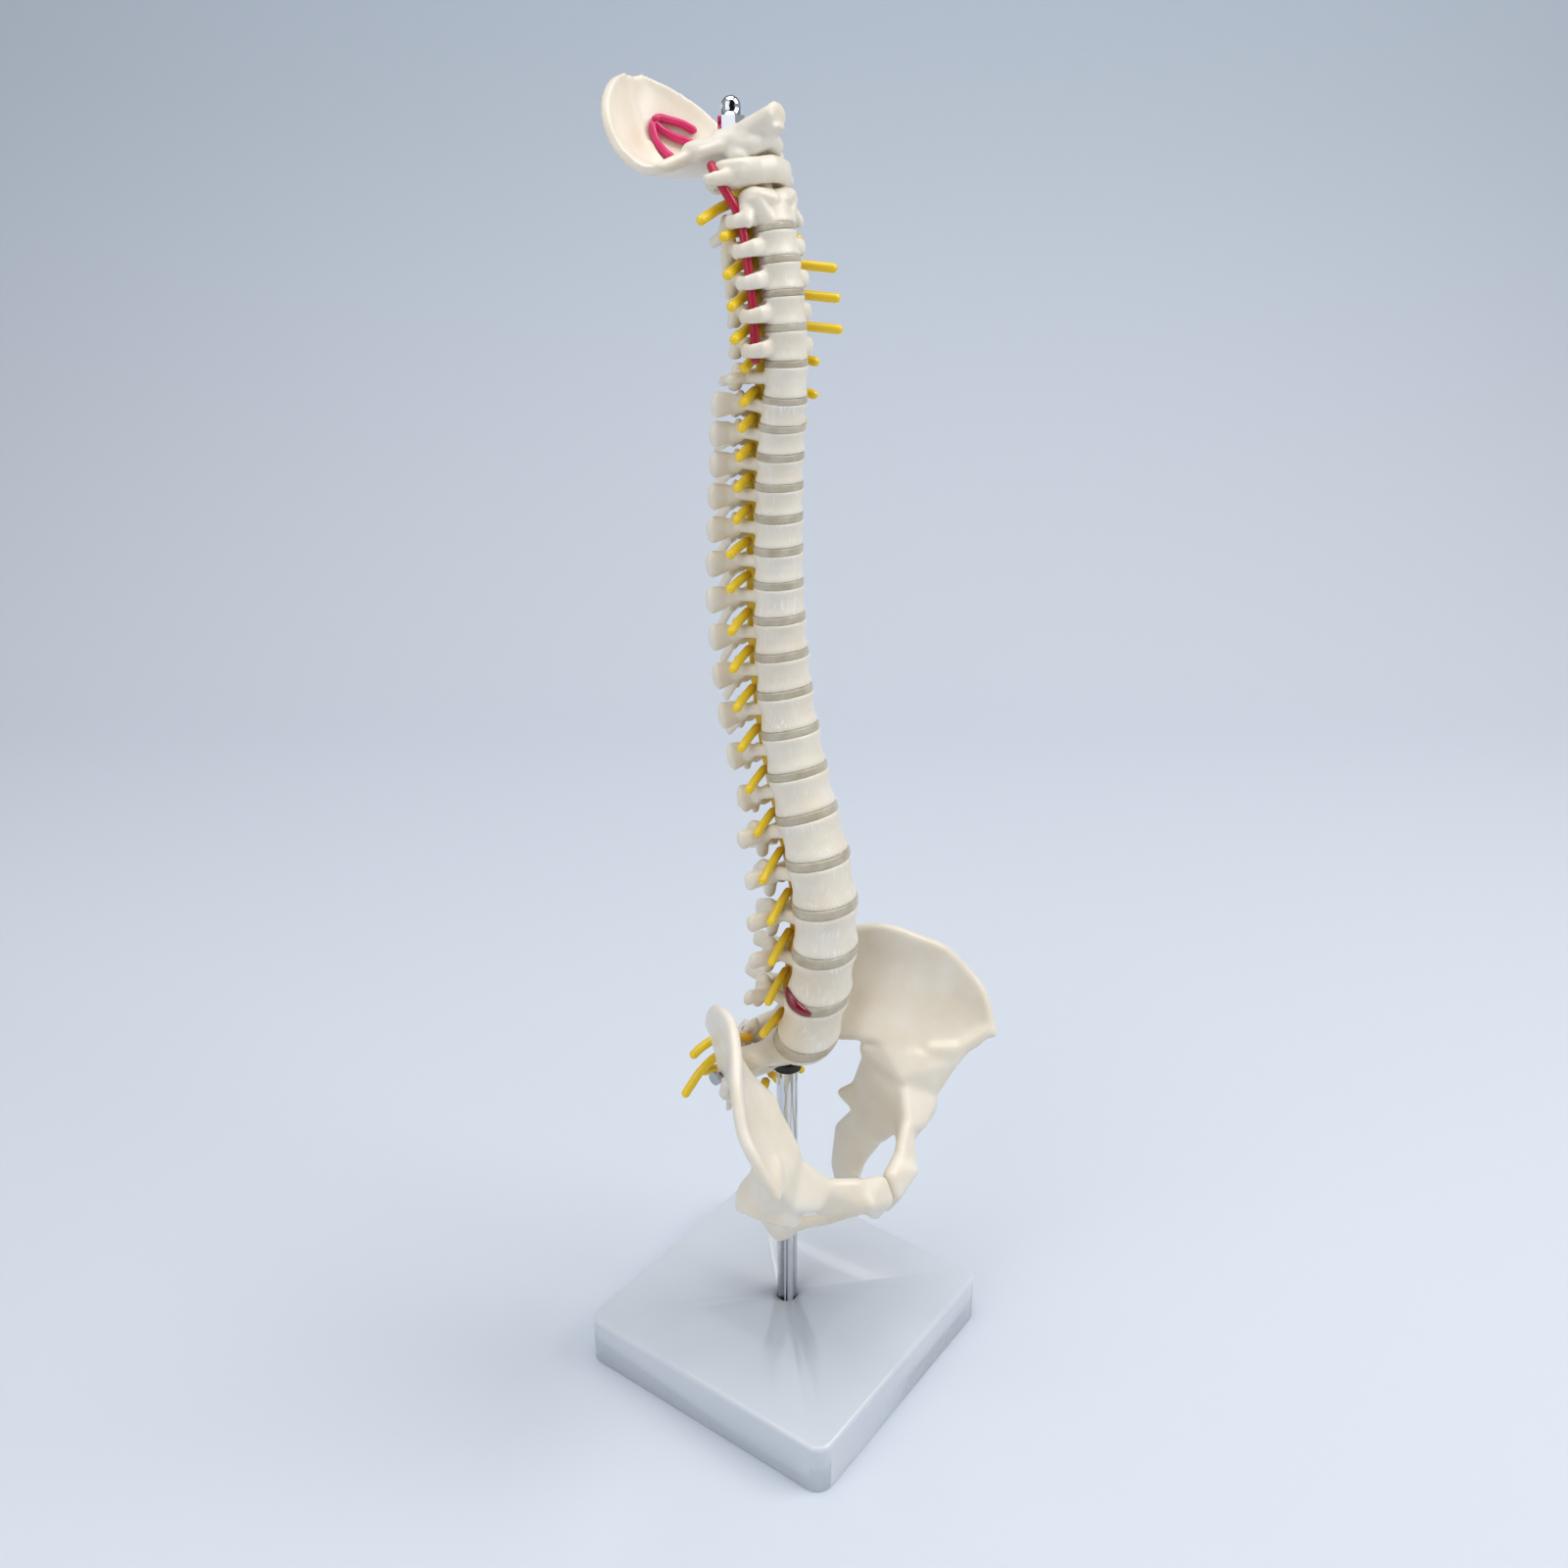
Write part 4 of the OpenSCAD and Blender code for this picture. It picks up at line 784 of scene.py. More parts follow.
def tube_tree():
    """Tree that sweeps round-ended tubes along chains of points."""
    tree, given, result = new_tree("round_ended_tube", [
        ("Radius", "NodeSocketFloat", 0.0015), ("Spacing", "NodeSocketFloat", 0.0005),
        ("Sides", "NodeSocketInt", 16), ("Material", "NodeSocketMaterial", None)])
    chain = add(tree, "GeometryNodeMeshToCurve", {"Mesh": given.outputs["Geometry"]})
    smooth = add(tree, "GeometryNodeCurveSplineType", {"Curve": chain.outputs[0]},
                 spline_type="CATMULL_ROM")
    fine = add(tree, "GeometryNodeSetSplineResolution", {"Geometry": smooth.outputs[0], "Resolution": 10})
    even = add(tree, "GeometryNodeResampleCurve",
               {"Curve": fine.outputs[0], "Length": given.outputs["Spacing"]}, mode="LENGTH")
    spot = add(tree, "GeometryNodeSplineParameter")
    whole = add(tree, "GeometryNodeSplineLength")
    behind = math_node(tree, "MINIMUM", spot.outputs["Length"],
                       math_node(tree, "SUBTRACT", whole.outputs["Length"], spot.outputs["Length"]))
    share = math_node(tree, "MINIMUM",
                      math_node(tree, "ADD", math_node(tree, "DIVIDE", behind, given.outputs["Radius"]),
                                0.04), 1.0)
    left = math_node(tree, "SUBTRACT", 1.0, share)
    dome = math_node(tree, "SQRT",
                     math_node(tree, "SUBTRACT", 1.0, math_node(tree, "MULTIPLY", left, left)))
    sized = add(tree, "GeometryNodeSetCurveRadius", {"Curve": even.outputs[0], "Radius": dome})
    stored = add(tree, "GeometryNodeStoreNamedAttribute", {"Geometry": sized.outputs[0], "Name": "along",
                                                           "Value": spot.outputs["Factor"]},
                                                           data_type="FLOAT", domain="POINT")
    hoop = add(tree, "GeometryNodeCurvePrimitiveCircle",
               {"Resolution": given.outputs["Sides"], "Radius": given.outputs["Radius"]})
    swept = add(tree, "GeometryNodeCurveToMesh",
                {"Curve": stored.outputs[0], "Profile Curve": hoop.outputs[0], "Fill Caps": True})
    if "Scale" in swept.inputs:
        tree.links.new(dome, swept.inputs["Scale"])
    soft = add(tree, "GeometryNodeSetShadeSmooth", {"Geometry": swept.outputs[0]})
    real = add(tree, "GeometryNodeRealizeInstances", {"Geometry": soft.outputs[0]})
    painted = add(tree, "GeometryNodeSetMaterial",
                  {"Geometry": real.outputs[0], "Material": given.outputs["Material"]})
    tree.links.new(painted.outputs[0], result.inputs[0])
    return tree


TUBE = tube_tree()


def tubes(name, chains, radius, material, slot, *nodes_replaced):
    """One piece of round-ended tubes along chains of points in millimetres."""
    points = [p for chain in chains for p in chain]
    obj = grown(name, TUBE, {"Radius": radius / 1000, "Spacing": 0.0005, "Sides": 16, "Material": material},
                points, [len(chain) for chain in chains])
    return dress(obj, material, slot, *nodes_replaced)


def canal_point(k):
    """Middle of the canal at level k."""
    return place(k, (0, rear(k) + CANAL_DEPTH / 2, 0))


CORD_PATH = [np.array([0, 0.6, 143])] + [canal_point(k)
                                         for k in np.arange(0.8, 21, 2)] + [canal_point(22.4),
                                                                            canal_point(23.5)]
cord = tubes("cord", [CORD_PATH], 2.5, NERVE, "nerve", "spinal_cord")
print("cord:", len(cord.data.polygons), "faces")

# %% [markdown]
# Right-hand roots hang down and back, and left-hand roots stand out to the front, as the soft
# plastic has set. Each table row gives the reach from the middle, how far the tip lies ahead
# of the root, and how far it hangs.
# %% Roots of the column
NERVE_D, CORD_D = 3.0, 5.0
CORD_SIDE = sorted([p[2], p[1]] for p in CORD_PATH)


def root_path(k, out, ahead, down, bent=False, sign=1):
    """Points of a root from the cord's side through the opening beside disc level k."""
    z = canal_point(k)[2] + lookup(k, DISC_T) / 2 + 0.6
    start = np.array([CORD_D / 2 * 0.92 + 0.3, lookup(z, CORD_SIDE), z])
    tip = np.array([out, start[1] - ahead, z - down])
    if bent:
        middle = [np.array([ARTERY_X + ARTERY_D / 2 + 1.8, start[1] - 0.12 * ahead, z - 0.5 * down])]
    else:
        middle = [start + (tip - start) * 0.5 + np.array([0, 0, 0.08 * down])]
    flip = np.array([sign, 1, 1])
    return [p * flip for p in [start] + middle + [tip]]


def root_pairs(levels, right, left, bent=False):
    """Right and left roots of several levels, each with its reach, lead and fall."""
    made = []
    for k in levels:
        made.append(root_path(k, *right, sign=-1))
        made.append(root_path(k, *left, bent=bent))
    return made


neck_roots = (root_pairs(range(19, 22), (17, 3, 4.4), (24, 11.6, 3), True)
              + root_pairs(range(17, 19), (12.6, 3, 3.4), (17, 8, 3), True)
              + root_pairs([22], (17, 4, 2), (15, 7, 3)) + root_pairs([22.75], (20, 1, 6), (14, 2, 2)))
chest_roots = (root_pairs(range(5, 11), (14.6, 2, 5.4), (12, 1, 3))
               + root_pairs(range(11, 13), (13.6, 1, 3.6), (12, 1, 2))
               + root_pairs(range(13, 17), (12, 2.4, 3.2), (15, 6, 3.4)))
low_roots = root_pairs(range(1, 5), (17, 3.2, 7.4), (16, 2.6, 5)) + root_pairs([0], (19, 4, 2), (17, 2, 3))
for name, chains in (("cervical", neck_roots), ("thoracic", chest_roots), ("lumbar", low_roots)):
    tubes("roots_" + name, chains, NERVE_D / 2, NERVE, "nerve", name + "_nerves")
print("roots:", len(neck_roots) + len(chest_roots) + len(low_roots))

# %% [markdown]
# The sacral roots come out through the openings of the sacrum. Those behind the hip bones
# fuse into a fork as they hang.
# %% Sacral roots and neck arteries


def mirror_chains(chains):
    """Chains and their mirror images."""
    return chains + [[np.array(p) * np.array([-1, 1, 1]) for p in chain] for chain in chains]


sacral = mirror_chains([
    [np.array(p, float) for p in chain] for chain in (
        [(9, 8.6, 140), (18, 17.4, 140.4), (24, 19.8, 138.8), (29, 21, 136)],
        [(9, 13.4, 133.6), (17, 18.8, 132), (23.6, 21, 128), (28, 22.4, 123), (31, 23.4, 119)],
        [(11, 19, 124), (17, 20.8, 125.4), (23.4, 21, 127)],
        [(6.6, 4.3, 123.5), (9.4, 3.2, 121), (11.8, 2.6, 117.6)],
        [(5.8, 14.4, 114.8), (8, 13.6, 112.6), (9.8, 12.6, 109.4)])])
tubes("roots_sacral", sacral, 1.65, NERVE, "nerve", "sacral_nerves")

vessel = [place(18.1, (ARTERY_X, ARTERY_BACK, -1))] + [place(k, (ARTERY_X, ARTERY_BACK, 0))
                                                       for k in np.arange(18.5, 22, 0.5)]
vessel += [place(22.35, (ARTERY_X, ARTERY_BACK, 0)), place(22.8, (ARTERY_X + 1.6, ARTERY_BACK, 0)),
           place(23.5, (13.6, ARTERY_BACK + 0.1, 0)), place(24, (12.6, ARTERY_BACK + 2, 0.4))]
tubes("neck_arteries", mirror_chains([vessel]), ARTERY_D / 2, ARTERY, "artery", "vertebral_arteries")
print("sacral roots:", len(sacral))

# %% [markdown]
# The slipped disc is a dark red crescent that clings to the rim of the fourth lumbar disc on
# the right. It is a loft along the disc's outline, thick in the middle and thin at its ends.
# %% Slipped disc


def crescent():
    """Rings along the outline of the disc at level 1."""
    w, d = lookup(1, HALF_W), lookup(1, HALF_D)
    rings = []
    for s in np.linspace(0, 1, 25):
        t = math.radians(148 + 68 * s)
        fat = math.sin(math.pi * (0.06 + 0.88 * s)) ** 0.6
        out = np.array([w * math.cos(t), d * math.sin(t) * (0.98 if math.sin(t) > 0 else 1)])
        away = out / np.array([w * w, d * d])
        away /= np.linalg.norm(away)
        ring = []
        for a in turns(20):
            r = 0.4 + 1.7 * fat * math.cos(a)
            ring.append(place(1, (out[0] + away[0] * r, out[1] + away[1] * r,
                                  2.3 * fat * math.sin(a) + 3.4 - 4 * s)))
        rings.append(ring)
    return loft(rings[::-1])


bulge = make_object("prolapse", [crescent()])
bulge.data.shade_smooth()
dress(bulge, PROLAPSE, "prolapse", "disc_prolapse")
print("slipped disc:", [round(v * 1000, 1) for v in bulge.dimensions], "mm")

# %% [markdown]
# # Sacrum
# Five fused segments that shrink and curl towards the coccyx. The middle is a loft through
# stations, waisted at each old joint. Wings, side bars and crests are lumps, and the nerve
# openings are drilled after the skin is made.
# %% Sacrum
SACRUM = np.array([[6.8, 142.4, 13.6, 9, 24], [-4, 133, 11.4, 7, 34], [-14, 122.6, 10, 4.8, 46],
                   [-21.6, 114.6, 8.4, 3.6, 50],
                   [-27, 107.4, 7, 3, 62], [-30, 101, 4.6, 2.4, 82], [-29.4, 94.6, 2, 1.6, 110]])


def smooth_rows(rows, t):
    """Smooth reading between the rows of a table, at a place counted in rows."""
    rows = np.asarray(rows, float)
    last = len(rows) - 1
    i = min(int(t), last - 1)
    f = t - i
    p0, p1, p2, p3 = rows[max(i - 1, 0)], rows[i], rows[i + 1], rows[min(i + 2, last)]
    return 0.5 * (2 * p1 + (p2 - p0) * f + (2 * p0 - 5 * p1 + 4 * p2 - p3) * f ** 2
                  + (3 * p1 - p0 - 3 * p2 + p3) * f ** 3)


def sacrum_point(t, p, g=1.0):
    """Point of the sacrum's middle at station t, where p runs from -1 to 1 each way."""
    s = smooth_rows(SACRUM, t)
    a = math.radians(s[4])
    return np.array([p[0] * s[2] * g, -s[0] + p[1] * s[3] * g * math.cos(a),
                     s[1] + p[1] * s[3] * g * math.sin(a)])


def sacrum_parts():
    """Middle, top plate, wings, bars and crest."""
    rings = []
    for t in np.linspace(6, 0, 49):
        g = 1 - 0.07 * abs(math.cos(math.pi * t)) ** 6 if 0.6 < t < 5.6 else 1
        rings.append([sacrum_point(t, (math.cos(a), math.sin(a)), g) for a in turns(40)])
    top = [[place(0, (p[0], p[1], z)) for p in kidney(14 * g, 10.2 * g)] for z, g in
           ((-5.5, 0.9), (-4, 0.96), (-3, 1), (-2.4, 1), (-2.15, 0.97))]
    side = [lump((7, -2.6, 139.6, 3.4, 6, 3), (17.6, 3, 138, 2.6, 6.6, 3.6), (9, 9, 129, 3, 3, 3)),
            lump((17.6, 3, 138, 2.6, 6.6, 3.6), (19.4, 8.4, 133.6, 2, 6.6, 5.4), (10, 10, 128, 3, 3, 3),
                 (18.4, 12.4, 128, 2.2, 5.2, 4)),
            lump((8, 12.6, 124, 3, 3, 3), (18, 13, 127.6, 2, 4.4, 5), (12, 19, 118.4, 2, 2.2, 3)),
            lump((12, 19, 118.4, 2, 2.2, 3), (9.6, 22.4, 113, 2, 2.2, 3), (6, 22, 114, 3, 2, 3)),
            lump((9.4, 23, 112, 1.8, 2, 2.6), (6.4, 27, 106, 1.8, 1.8, 2.2)),
            lump((7.6, 10.8, 143.4, 1.9, 1.8, 2), (8.4, 8.4, 146, 1.9, 1.6, 2.4)),
            lump((7.4, 12.4, 141, 2, 2, 2), (4.6, 17.8, 136.4, 2, 2, 3)),
            lump((4.6, 17.8, 136.4, 2, 2, 3), (5, 22.6, 128.4, 1.8, 2, 2.6)),
            lump((5, 22.6, 128.4, 1.6, 1.9, 2.4), (4.4, 27.4, 119.6, 1.5, 1.7, 2.2)),
            lump((11.4, 19.6, 134, 1.6, 2, 2), (11, 22, 127, 1.6, 2, 2.4)),
            lump((11, 22, 127, 1.6, 2, 2.4), (8.8, 25.4, 117.6, 1.5, 1.8, 2)),
            lump((1.6, 22, 131.4, 2, 1.6, 3), (5, 19, 129, 2, 1.8, 3)),
            lump((1.6, 27, 121, 2, 1.6, 3), (4.6, 25, 119, 2, 1.8, 3))]
    crest = [((20.4, 136.6), (23.6, 132.4)), ((23, 132.4), (27.2, 128.4)), ((26.6, 128), (29.6, 123)),
             ((29.2, 123.4), (31.2, 116.4))]
    mid = [lump((0, a[0], a[1], 1.5, 1.8, 2.4), (0, b[0], b[1], 1.4, 1.7, 2.4)) for a, b in crest]
    mid += [lump((0, 17.4, 136, 4, 1.6, 2.4), (0, 22.4, 130, 4.4, 1.6, 3)),
            lump((0, 22.4, 130, 4.4, 1.6, 3), (0, 27.6, 119, 3.8, 1.6, 3))]
    mid += [lump((0, 25 + 1.9 * n, 108.4 - 4.4 * n, 3.8 - n, 2.1 - 0.2 * n, 2.4 - 0.2 * n))
            for n in range(3)]
    return [loft(rings), loft(top)] + [p for s in side for p in both(s)] + mid


def drilled(obj, cutters, turn=True):
    """Cut closed shapes, which don't touch each other, out of a closed mesh."""
    tool = make_object("tool", cutters, turn)
    cut = obj.modifiers.new("cut", "BOOLEAN")
    cut.operation = "DIFFERENCE"
    cut.solver = "EXACT"
    cut.object = tool
    baked(obj)
    bpy.data.objects.remove(tool)
    obj.data.shade_smooth()
    return obj


def rod_shape(p, q, r, n=32):
    """Plain round cutter between two points."""
    p, q = np.array(p, float), np.array(q, float)
    d = (q - p) / np.linalg.norm(q - p)
    u = np.cross(d, (0, 0, 1) if abs(d[2]) < 0.9 else (0, 1, 0))
    u /= np.linalg.norm(u)
    v = np.cross(d, u)
    angles = turns(n)
    return loft([[o + r * (math.cos(a) * u + math.sin(a) * v) for a in angles] for o in (p, q)])


holes = []
for n in range(1, 5):
    s = smooth_rows(SACRUM, n)
    lean = math.radians(s[4])
    across = np.array([0, -math.cos(lean), -math.sin(lean)])
    middle = sacrum_point(n, (0.66, 0))
    for sign in (1, -1):
        spot = middle * np.array([sign, 1, 1])
        holes.append(rod_shape(spot - across * 14, spot + across * 14, 1.5 - 0.12 * n))
sacrum = moulded(make_object("sacral_bone", sacrum_parts()), 0.55, 4)
drilled(sacrum, holes)
ROD_ROOM, RING_ROOM = 4.15, 5.6
stations = ((RING_ROOM, 112), (RING_ROOM, 130.2), (ROD_ROOM, 130.3), (ROD_ROOM, 137.4))
drilled(sacrum, [loft([[(r * math.cos(a), r * math.sin(a), z) for a in turns(48)] for r, z in stations])])
dress(sacrum, BONE, "bone", "sacrum")
print("sacrum:", len(sacrum.data.polygons), "faces")

# %% [markdown]
# # Hip bones
# The blade of the hip bone is a thin dished sheet with a thick rolled crest. It is built as a
# grid between two rows of points and given a thickness. Below it, lumps make the socket, the
# sitting bone, the two branches round the opening and the joint in front.
# %% Hip bones
CREST_Z, PUBIS_Z, SEAT_Z, PUBIS_FWD, REACH = 173, 94, 64.5, 48, 65


def hip(x, f, z):
    """Point of a hip bone from its reach, its place forward and its height."""
    return (x, -f, z)


CREST = [hip(25, -14, CREST_Z - 21), hip(31, -6, CREST_Z - 10), hip(37, 3, CREST_Z - 3),
         hip(42, 13, CREST_Z - 1),
         hip(49, 21.5, CREST_Z - 5), hip(57, 29, CREST_Z - 10.6), hip(REACH - 2.4, 36.4, CREST_Z - 20.6),
         hip(REACH - 1.2, 42.4, CREST_Z - 27.6), hip(REACH - 3.6, 49, CREST_Z - 40.4)]
FOSSA = [hip(23.5, -12, 133), hip(23.4, -4, 129.6), hip(23.6, 4, 129), hip(24.6, 13.4, 132),
         hip(28, 19.4, 132),
         hip(33, 25.6, 127.6), hip(41, 32, 123.6), hip(50, 39.4, 124), hip(57, 45.6, 128.6)]
SOCKET, FACING, CUP_R = np.array(hip(40, 26, 103), float), np.array([0.6, -0.12, -0.79]), 10.4
FRONT_GAP, HANG, HANG_PIVOT = 0.0016, math.radians(2), Matrix.Translation((0.022, 0, 0.131))


def sheet(grid, thickness):
    """Closed plate of a varying thickness round a grid of points."""
    grid = np.array(grid)
    nu, nv = grid.shape[:2]
    du, dv = np.gradient(grid, axis=0), np.gradient(grid, axis=1)
    normal = np.cross(du, dv)
    normal /= np.linalg.norm(normal, axis=2, keepdims=True)
    half = np.array(thickness)[..., None] / 2
    verts = np.concatenate([(grid + normal * half).reshape(-1, 3), (grid - normal * half).reshape(-1, 3)])
    n, faces = nu * nv, []
    for i in range(nu - 1):
        for j in range(nv - 1):
            a, b, c, d = i * nv + j, (i + 1) * nv + j, (i + 1) * nv + j + 1, i * nv + j + 1
            faces += [[a, b, c, d], [n + d, n + c, n + b, n + a]]
    rim = [i * nv for i in range(nu)] + [(nu - 1) * nv + j for j in range(1, nv)] \
        + [i * nv + nv - 1 for i in range(nu - 2, -1, -1)] + [j for j in range(nv - 2, 0, -1)]
    for i, a in enumerate(rim):
        b = rim[(i + 1) % len(rim)]
        faces.append([b, a, n + a, n + b])
    return verts, faces


def blade_sheet():
    """Dished blade between the crest and the rim of the pelvis."""
    us, vs = np.linspace(0, 8, 57), np.linspace(0, 1, 21)
    grid, thick = [], []
    for u in us:
        top, low = smooth_rows(CREST, u), smooth_rows(FOSSA, u)
        row, row_t = [], []
        for v in vs:
            dish = 3.0 * math.sin(math.pi * min(v * 1.05, 1)) * math.sin(math.pi * np.clip(u / 8, 0,
                                                                                           1)) ** 0.8
            p = top * (1 - v) + low * v
            row.append(p + dish * np.array([0.78, 0.6, -0.1]))
            row_t.append(4.4 - 2.4 * min(v / 0.3, 1) + 1.6 * max(0, (v - 0.7) / 0.3))
        grid.append(row)
        thick.append(row_t)
    return sheet(grid, thick)


def hip_parts():
    """Parts of the left hip bone, from the blade down to the joint in front."""
    fwd, pz, sz = PUBIS_FWD, PUBIS_Z, SEAT_Z
    lip = [smooth_rows(CREST, u) for u in np.linspace(0, 8, 25)]
    parts = [blade_sheet()]
    parts += [lump((*a, 2.2), (*b, 2.2)) for a, b in zip(lip, lip[1:])]
    groups = [
        [(hip(25.4, 15.6, 129.6), 1.8), (hip(29.6, 22.6, 129.6), 2), (hip(30.4, 29.6, 120), 2.6),
         (hip(50, 39.4, 121.6), 2.6),
         (hip(29.6, 17, 115), 2.6), (hip(43, 36.4, 112), 3), (SOCKET + np.array([0, 0, 5]), 8.4)],
        [(SOCKET, 12.4)],
        [(hip(27.4, 15.6, 123), 2.2), (hip(28, 11.6, 111), 2.2), (hip(30.6, 29, 118), 2.4),
         (hip(29, 34, 106), 3),
         (hip(26.4, 24.6, 93), 2.6), (hip(26.6, 12, 96), 2.4)],
        [(hip(27, 11.4, 110), 1.8), (hip(26.6, 11.6, 100), 1.8), (hip(24, 6.6, 106), 1.9)],
        [(hip(27.6, 13, 97), 3.6), (hip(26.4, 22, 90.6), 2.8), (hip(25, 6.4, 89), 2.8),
         (hip(23, 17.4, 81), 2.6)],
        [(hip(25, 6.4, 89), 2.8), (hip(23, 17.4, 81), 2.6), (hip(22, 7.6, sz + 10), 3.2),
         (hip(20, 11.6, sz + 3), 3),
         (hip(19.4, 16, sz + 6), 2.6)],
        [(hip(20, 13, sz + 6), 3), (hip(16.4, 21, 75.6), 2.5)],
        [(hip(16.4, 21, 75.6), 2.5), (hip(12.6, 29, 79.4), 2.4)],
        [(hip(12.6, 29, 79.4), 2.4), (hip(4.6, fwd - 4.6, pz - 5), 2.9)],
        [(hip(30.4, 31, 116), 2.6), (hip(23.4, 38.6, 105.8), 2.6), (hip(40, 36.6, 108), 3),
         (hip(32, 39, 104), 2.8),
         (hip(28, 32, 98.6), 2.6), (hip(23, 37, 98), 2.4)],
        [(hip(25, 37, 106.8), 2.6), (hip(25, 37.4, 96.8), 3), (hip(13, fwd - 4.6, pz + 9), 2.4),
         (hip(13.6, fwd - 1, pz + 2.4), 2.9)],
        [(hip(13.6, fwd + 0.2, pz + 3.6), 2.5), (hip(13, fwd - 4.6, pz + 8.4), 2.2),
         (hip(3.4, fwd - 2, pz + 5), 2.8),
         (hip(3.6, fwd + 0.8, pz - 1), 2.8), (hip(4, fwd - 4, pz - 9), 2.8)],
        [(hip(60.4, 47.4, 133.6), 2.5), (hip(56.4, 44.8, 129), 2.3), (hip(50.6, 39.6, 125.4), 2.5)],
        [(hip(50, 39.8, 123), 2.5), (hip(45, 36.6, 116), 3.2), (hip(54, 42.6, 127), 2.2),
         (hip(44, 33, 127), 2.4)],
        [(hip(13, fwd + 1.4, pz + 3.2), 2.2), (hip(11.6, fwd + 0.6, pz + 1), 2)]]
    return parts + [lump(*[(*p, r) for p, r in group]) for group in groups]


def make_hip(name, side):
    """Left hip bone, or its mirror image hung two degrees lower."""
    cup = SOCKET + 4 * FACING
    mouth = rod_shape(SOCKET + 5.4 * FACING, SOCKET + 22 * FACING, 15, 48)
    bowl = loft([[cup + CUP_R * np.array([math.sin(t) * math.cos(a), math.sin(t) * math.sin(a),
                                          -math.cos(t)])
                  for a in turns(48)] for t in np.linspace(0.02, math.pi - 0.02, 33)])
    bone = moulded(make_object(name, hip_parts(), turn=False), 0.6, 26)
    drilled(bone, [bowl], turn=False)
    drilled(bone, [mouth], turn=False)
    moulded(bone, 0.64, 3)
    co = np.empty(len(bone.data.vertices) * 3)
    bone.data.vertices.foreach_get("co", co)
    co = co.reshape(-1, 3)
    co[:, 0] = np.maximum(co[:, 0], FRONT_GAP / 2)
    bone.data.vertices.foreach_set("co", co.ravel())
    if side < 0:
        hung = HANG_PIVOT @ Matrix.Rotation(HANG, 4, "Y") @ HANG_PIVOT.inverted()
        bone.data.transform(Matrix.Scale(-1, 4, (1, 0, 0)) @ hung)
        bone.data.flip_normals()
    bone.data.transform(Matrix.Rotation(STAND_TURN, 4, "Z"))
    bone.data.update()
    bone.data.shade_smooth()
    return bone


for name, side in (("left", 1), ("right", -1)):
    bone = dress(make_hip("hip_" + name, side), BONE, "bone", "hip_bone_" + name)
    print("hip bone", name, len(bone.data.polygons), "faces")

# %% [markdown]
# # Skull base
# A shallow spoon of bone behind the foramen, with a raised boss under the nut, two rounded
# joint knobs underneath and a broken-off stub in front. The spoon is one dished sheet whose
# edge is thickened and scalloped.
# %% Skull base
SKULL = [[-4.4, 443.6, 3.2, 443], [-9, 441, 4.2, 440.2], [-14, 438.6, 6.8, 437.2], [-19, 437, 10, 435.2],
         [-24.5, 435, 15, 432.8], [-28.5, 433, 20, 430.6], [-33.5, 431, 25, 430], [-39, 429.6, 26.4, 433],
         [-44.6, 429.4, 25.8, 437.4], [-49.4, 430.6, 24.2, 443], [-54.6, 434, 20, 449],
         [-59.6, 441, 13.4, 454],
         [-62.8, 449.6, 8, 456.6], [-64, 457.4, 3.6, 458]]
SKULL_T, NUT_BACK = 2.2, 22.2


def skull_mid(i, u):
    """Point of the spoon's middle surface at station i, with u from -1 to 1 across."""
    s = smooth_rows(SKULL, i)
    return np.array([u * s[2], -s[0], s[1] + (s[3] - s[1]) * u * u])


def skull_point(i, u, height):
    """Point at a height above the spoon's middle surface, square to it."""
    along = skull_mid(min(i + 0.4, 13), u) - skull_mid(max(i - 0.4, 0), u)
    across = skull_mid(i, u + 0.1) - skull_mid(i, u - 0.1)
    n = np.cross(across, along)
    return skull_mid(i, u) + height * n / np.linalg.norm(n)


